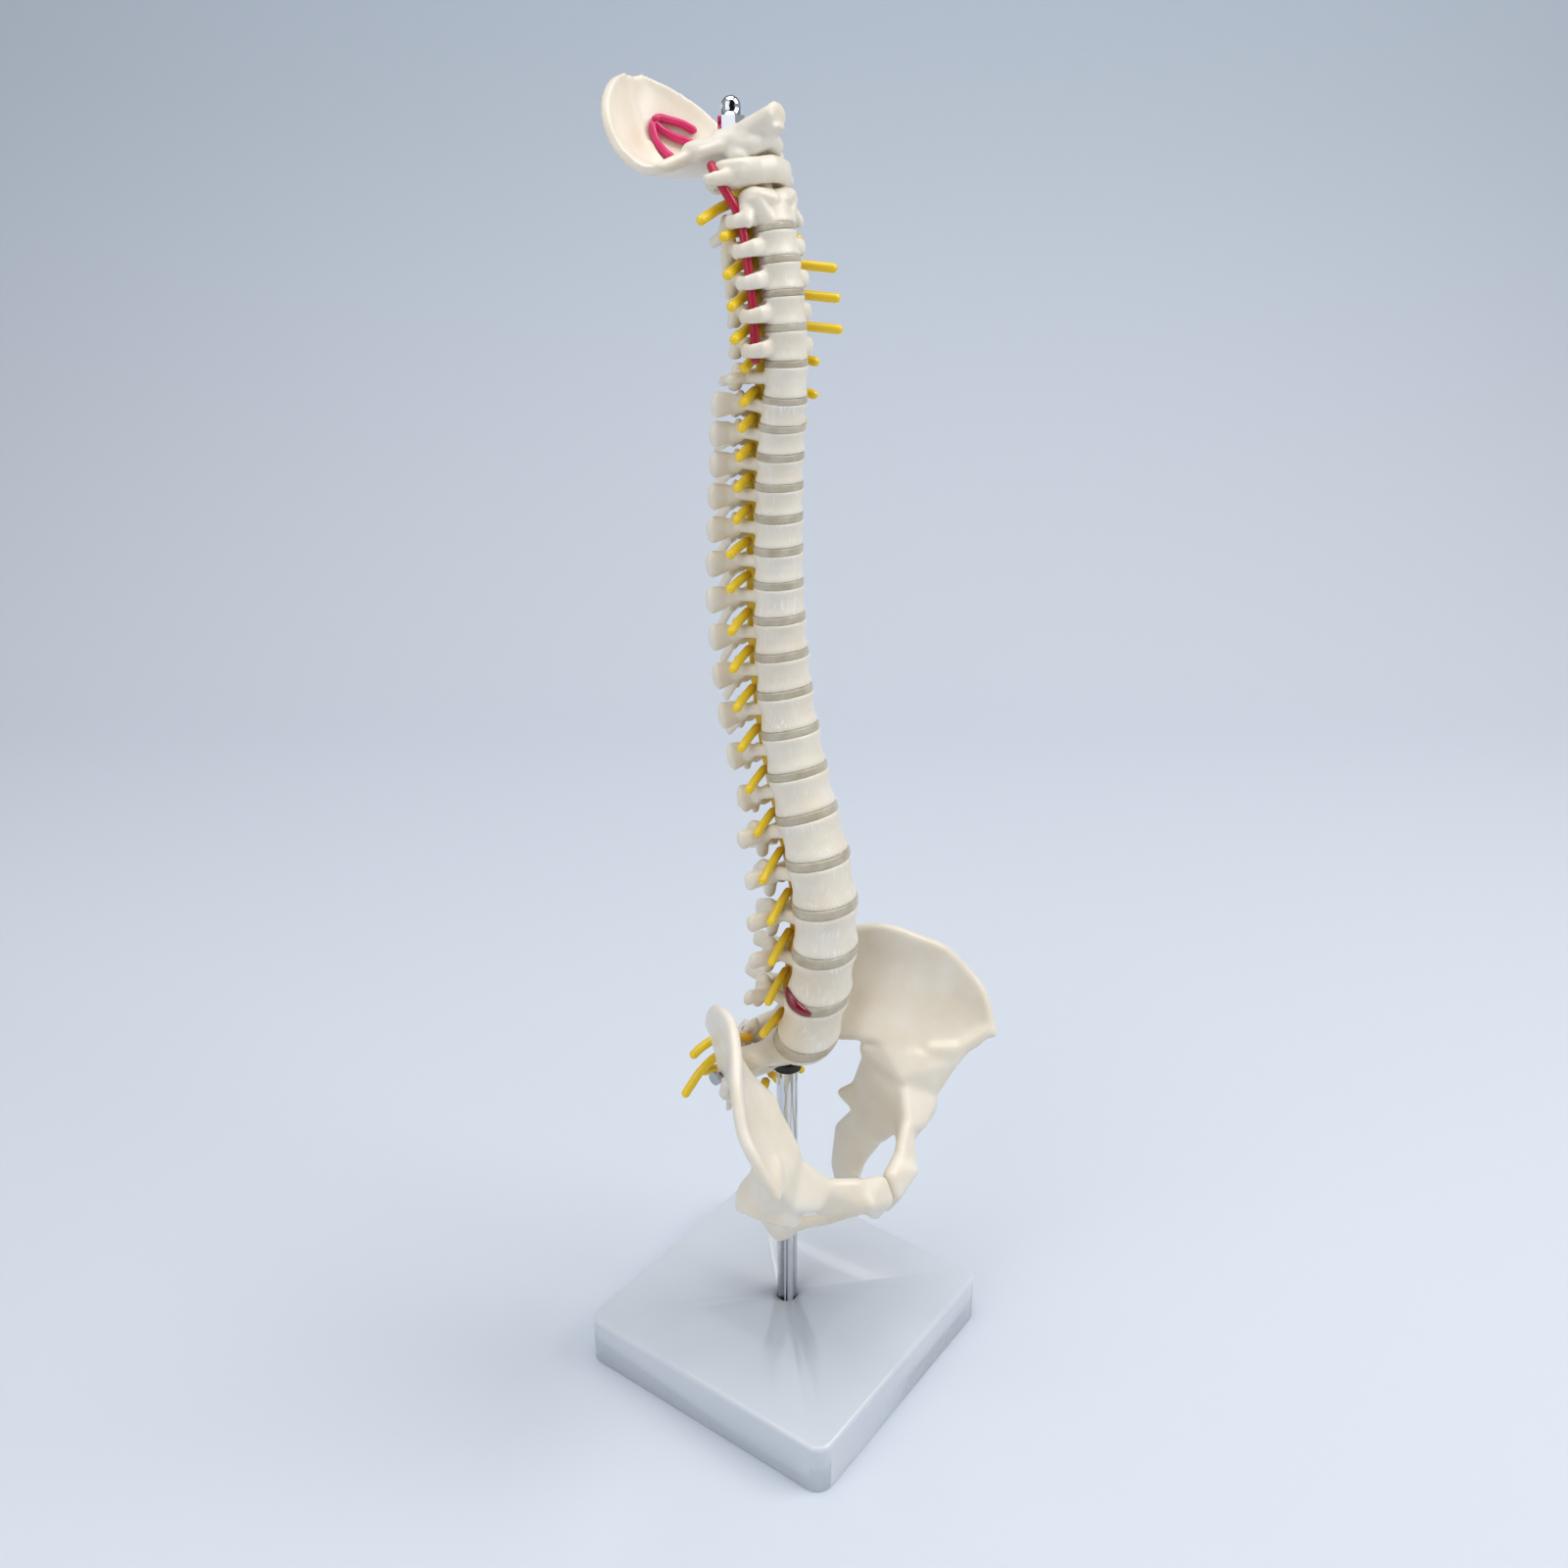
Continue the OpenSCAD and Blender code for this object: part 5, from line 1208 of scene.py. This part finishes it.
def skull_parts():
    """Spoon, ridges, joint knobs, stub and boss."""
    stations, us = np.linspace(0, 13, 79), np.linspace(-1, 1, 49)
    grid = [[skull_mid(i, u) for u in us] for i in stations]
    thick = [[lookup(-smooth_rows(SKULL, i)[0], [[4, 5.6], [13, 3.6], [20, SKULL_T]])
              + 0.9 * max(0, (abs(u) - 0.86) / 0.14)
              + 0.35 * math.sin(9 * u + 1.3 * i) * math.exp(-(u * 3) ** 2) for u in us]
             for i in stations]
    parts = [sheet(grid, thick)]
    ridge = [skull_point(i, 0, SKULL_T / 2) for i in np.linspace(5, 10.6, 12)]
    parts += [lump((*a, 1.1, 1.1, 0.9), (*b, 1.1, 1.1, 0.9)) for a, b in zip(ridge, ridge[1:])]
    cross = [skull_point(8.2, u, SKULL_T / 2 - 0.2) for u in np.linspace(-0.8, 0.8, 13)]
    parts += [lump((*a, 0.9, 1.3, 0.8), (*b, 0.9, 1.3, 0.8)) for a, b in zip(cross, cross[1:])]
    under = [skull_point(8.4, u, -SKULL_T / 2 + 0.2) for u in np.linspace(-0.7, 0.7, 11)]
    parts += [lump((*a, 0.9, 1.2, 0.8), (*b, 0.9, 1.2, 0.8)) for a, b in zip(under, under[1:])]
    side = [lump((6.4, 15.6, 435.6, 3.2, 3.6, 2.8), (7.8, 12, 433.6, 2.6, 3.2, 2.2)),
            lump((5.4, 12, 438.6, 3, 3.4, 2.8), (8.8, 19, 437.2, 3, 4, 2.8)),
            lump((8.8, 19, 437, 3, 4, 2.8), (12, 26, 435.4, 3.2, 4, 2.6)),
            lump((9.6, 17, 436.4, 2.6, 2.6, 1.9), (14, 21, 434.8, 2, 2.4, 1.8)),
            lump((2.6, 5.6, 444.2, 1.8, 2, 2.6), (5, 12, 440.6, 2.8, 3, 2.8)),
            lump((5, 12, 440.6, 2.6, 2.8, 2.4), (8, 20, 438.6, 2.4, 2.8, 2.2)),
            lump((14, 27, 433.6, 3, 3, 1.8), (21, 30, 430.8, 2.6, 2.6, 1.6)),
            lump((0, 8.4, 438.8, 3, 3, 3.4), (4.6, 9.8, 436.6, 3.2, 3, 3), (6.4, 12.6, 437, 3, 3, 3))]
    parts += [p for s in side for p in both(s)]
    parts += [lump((0, 4.9, 444, 4.3, 1.1, 4.2), (0, 9, 441.4, 3.9, 2.6, 3.4)),
              lump((0, 9, 441.4, 3.9, 2.6, 3.4), (0, 14, 438.8, 5.6, 3, 3))]
    boss = ((7.2, 434.4), (7, 437), (5.7, 438.6), (5.4, 439.4), (5.1, 439.95))
    return parts + [loft([[(r * math.cos(a), NUT_BACK + r * math.sin(a), z) for a in turns(40)] for r,
                          z in boss])]


plate = moulded(make_object("skull_plate", skull_parts()), 0.56, 7)
drilled(plate, [rod_shape((0, NUT_BACK, 420), (0, NUT_BACK, 450), 1.6)])
dress(plate, BONE, "bone", "skull_base")
print("skull base:", len(plate.data.polygons), "faces")

# %% [markdown]
# The magenta artery lies on the inner face as a fork of three arms. Its points are read off the
# plate's own surface, so that it follows the dish.
# %% Artery in the skull base
LIFT = (SKULL_T + 2.6) / 2 + 0.1
FORK = [[(11.2, 0.3), (10.8, 0.39), (10.35, 0.48), (9.9, 0.56), (9.3, 0.61)],
        [(11.2, 0.3), (11.15, 0.48), (10.75, 0.62), (10.3, 0.71), (9.7, 0.75)],
        [(11.2, 0.3), (11, 0.18), (10.5, 0.12), (10.05, 0.14), (9.4, 0.18)]]
arms = [[skull_point(i, u, LIFT) for i, u in chain] for chain in FORK]
tubes("skull_artery", arms, 1.25, MAGENTA, "basal_artery", "basal_artery")
print("artery arms:", len(arms))

# %% [markdown]
# # Rod, nut, ring, screws and base
# These CAD solids already have the right shape. Their meshes are merged copies with smooth
# shading, because loose flat triangles would break the mirror image in the chrome.
# %% Stand and fittings


def polished(node, name, material, slot, angle=25):
    """Merged and smooth-shaded copy of a CAD node."""
    bm = bmesh.new()
    bm.from_mesh(nodes[node].data)
    bmesh.ops.remove_doubles(bm, verts=bm.verts, dist=1e-6)
    mesh = bpy.data.meshes.new(name)
    bm.to_mesh(mesh)
    bm.free()
    mesh.shade_smooth()
    mesh.set_sharp_from_angle(angle=math.radians(angle))
    return dress(put(name, mesh), material, slot, node)


for node, name, material, slot in (
        ("support_rod", "chrome_rod", CHROME, "chrome"), ("cap_nut", "dome_nut", CHROME, "chrome"),
        ("washer", "nut_washer", CHROME, "chrome"), ("rod_collar", "rubber_ring", RUBBER, "collar"),
        ("hip_screws", "joint_screws", STEEL, "steel"), ("core_rod", "core_wire", STEEL, "steel"),
        ("base_plate", "base_slab", PLATE, "base")):
    piece = polished(node, name, material, slot)
    print(name, len(piece.data.polygons), "faces")

# %% [markdown]
# # Studio and camera
# The model stands on a pale sweep of paper that curves up behind it. The camera is where the
# photographer stood: a little above the skull, looking down past the right hip.
# %% Paper, camera and lamps


def sweep_finish():
    """Matt pale blue-grey paper, darker up the wall as painted shade."""
    material, tree, shader = finish("pale_blue_paper", Roughness=0.7)
    where = place_in(tree)
    split = add(tree, "ShaderNodeSeparateXYZ", {0: where})
    # painted shade: the paper's colour darkens with height up the wall
    painted_wall_shade = ramp(tree, split.outputs["Z"], 0.0, 1.1)
    fibre = noise(tree, where, 2, 3.0)
    wear(tree, shader, "Base Color", blend(tree, painted_wall_shade, "#D9DFE7", "#A9B4C1"))
    relief(tree, shader, fibre, 0.08, 0.0003)
    return material


HEADING, PITCH = math.radians(-53.75), math.radians(22.4)
FOCAL_PX, PHOTO_PX = 1417, 1600
CAMERA = Vector((-0.3513, -0.2561, 0.419))


def paper_sweep():
    """Floor that runs away from the camera and curves up into a wall."""
    profile = [(-1.6, 0), (0.7, 0)] + [(0.7 + 0.6 * math.sin(a), 0.6 - 0.6 * math.cos(a))
                                       for a in np.linspace(0.1, math.pi / 2, 16)]
    profile.append((1.3, 3.0))
    away = np.array([math.cos(math.pi / 2 + HEADING), math.sin(math.pi / 2 + HEADING), 0])
    across = np.array([-away[1], away[0], 0])
    verts = [away * d + across * s + np.array([0, 0, z - 0.0003]) for d, z in profile for s in (2.6, -2.6)]
    faces = [[2 * i, 2 * i + 1, 2 * i + 3, 2 * i + 2] for i in range(len(profile) - 1)]
    mesh = bpy.data.meshes.new("paper")
    mesh.from_pydata([tuple(v) for v in verts], [], faces)
    mesh.shade_smooth()
    mesh.materials.append(sweep_finish())
    return put("paper", mesh)


paper_sweep()

lens = bpy.data.cameras.new("camera")
lens.sensor_width = 36
lens.lens = FOCAL_PX / PHOTO_PX * lens.sensor_width
lens.clip_start, lens.clip_end = 0.01, 20
camera = put("camera", lens)
camera.location = CAMERA
camera.rotation_euler = (math.radians(90) - PITCH, 0, HEADING)
bpy.context.scene.camera = camera


def lamp(name, location, aim, size, power, colour="#FFFFFF"):
    """Soft square lamp aimed at a point."""
    light = bpy.data.lights.new(name, "AREA")
    light.size, light.energy, light.color = size, power, linear(colour)[:3]
    obj = put(name, light)
    obj.location = location
    obj.rotation_euler = (Vector(aim) - Vector(location)).to_track_quat("-Z", "Y").to_euler()


lamp("key", (0.5, -0.9, 1.3), (0, 0, 0.25), 0.9, 11)
lamp("fill", (-1.1, 0.1, 0.9), (0, 0, 0.25), 1.0, 4, "#F4F7FF")
lamp("top", (-0.1, 0.1, 1.7), (0, 0, 0.2), 1.2, 10)

world = bpy.data.worlds.new("room")
bpy.context.scene.world = world
world.use_nodes = True
sky = world.node_tree
towards = add(sky, "ShaderNodeVectorMath",
              {0: add(sky, "ShaderNodeTexCoord").outputs["Generated"], 1: (-0.72, -0.52, 0.45)},
              operation="DOT_PRODUCT").outputs["Value"]
room = ramp(sky, towards, 0.55, 0.8)
mirrored = add(sky, "ShaderNodeMath",
               {0: room, 1: add(sky, "ShaderNodeLightPath").outputs["Is Glossy Ray"]},
               operation="MULTIPLY").outputs[0]
sky.links.new(blend(sky, mirrored, "#E3E7EC", "#23272C"), sky.nodes["Background"].inputs["Color"])
sky.nodes["Background"].inputs["Strength"].default_value = 0.5
bpy.context.scene.view_settings.view_transform = "Standard"
print("camera at", [round(v, 3) for v in camera.location])
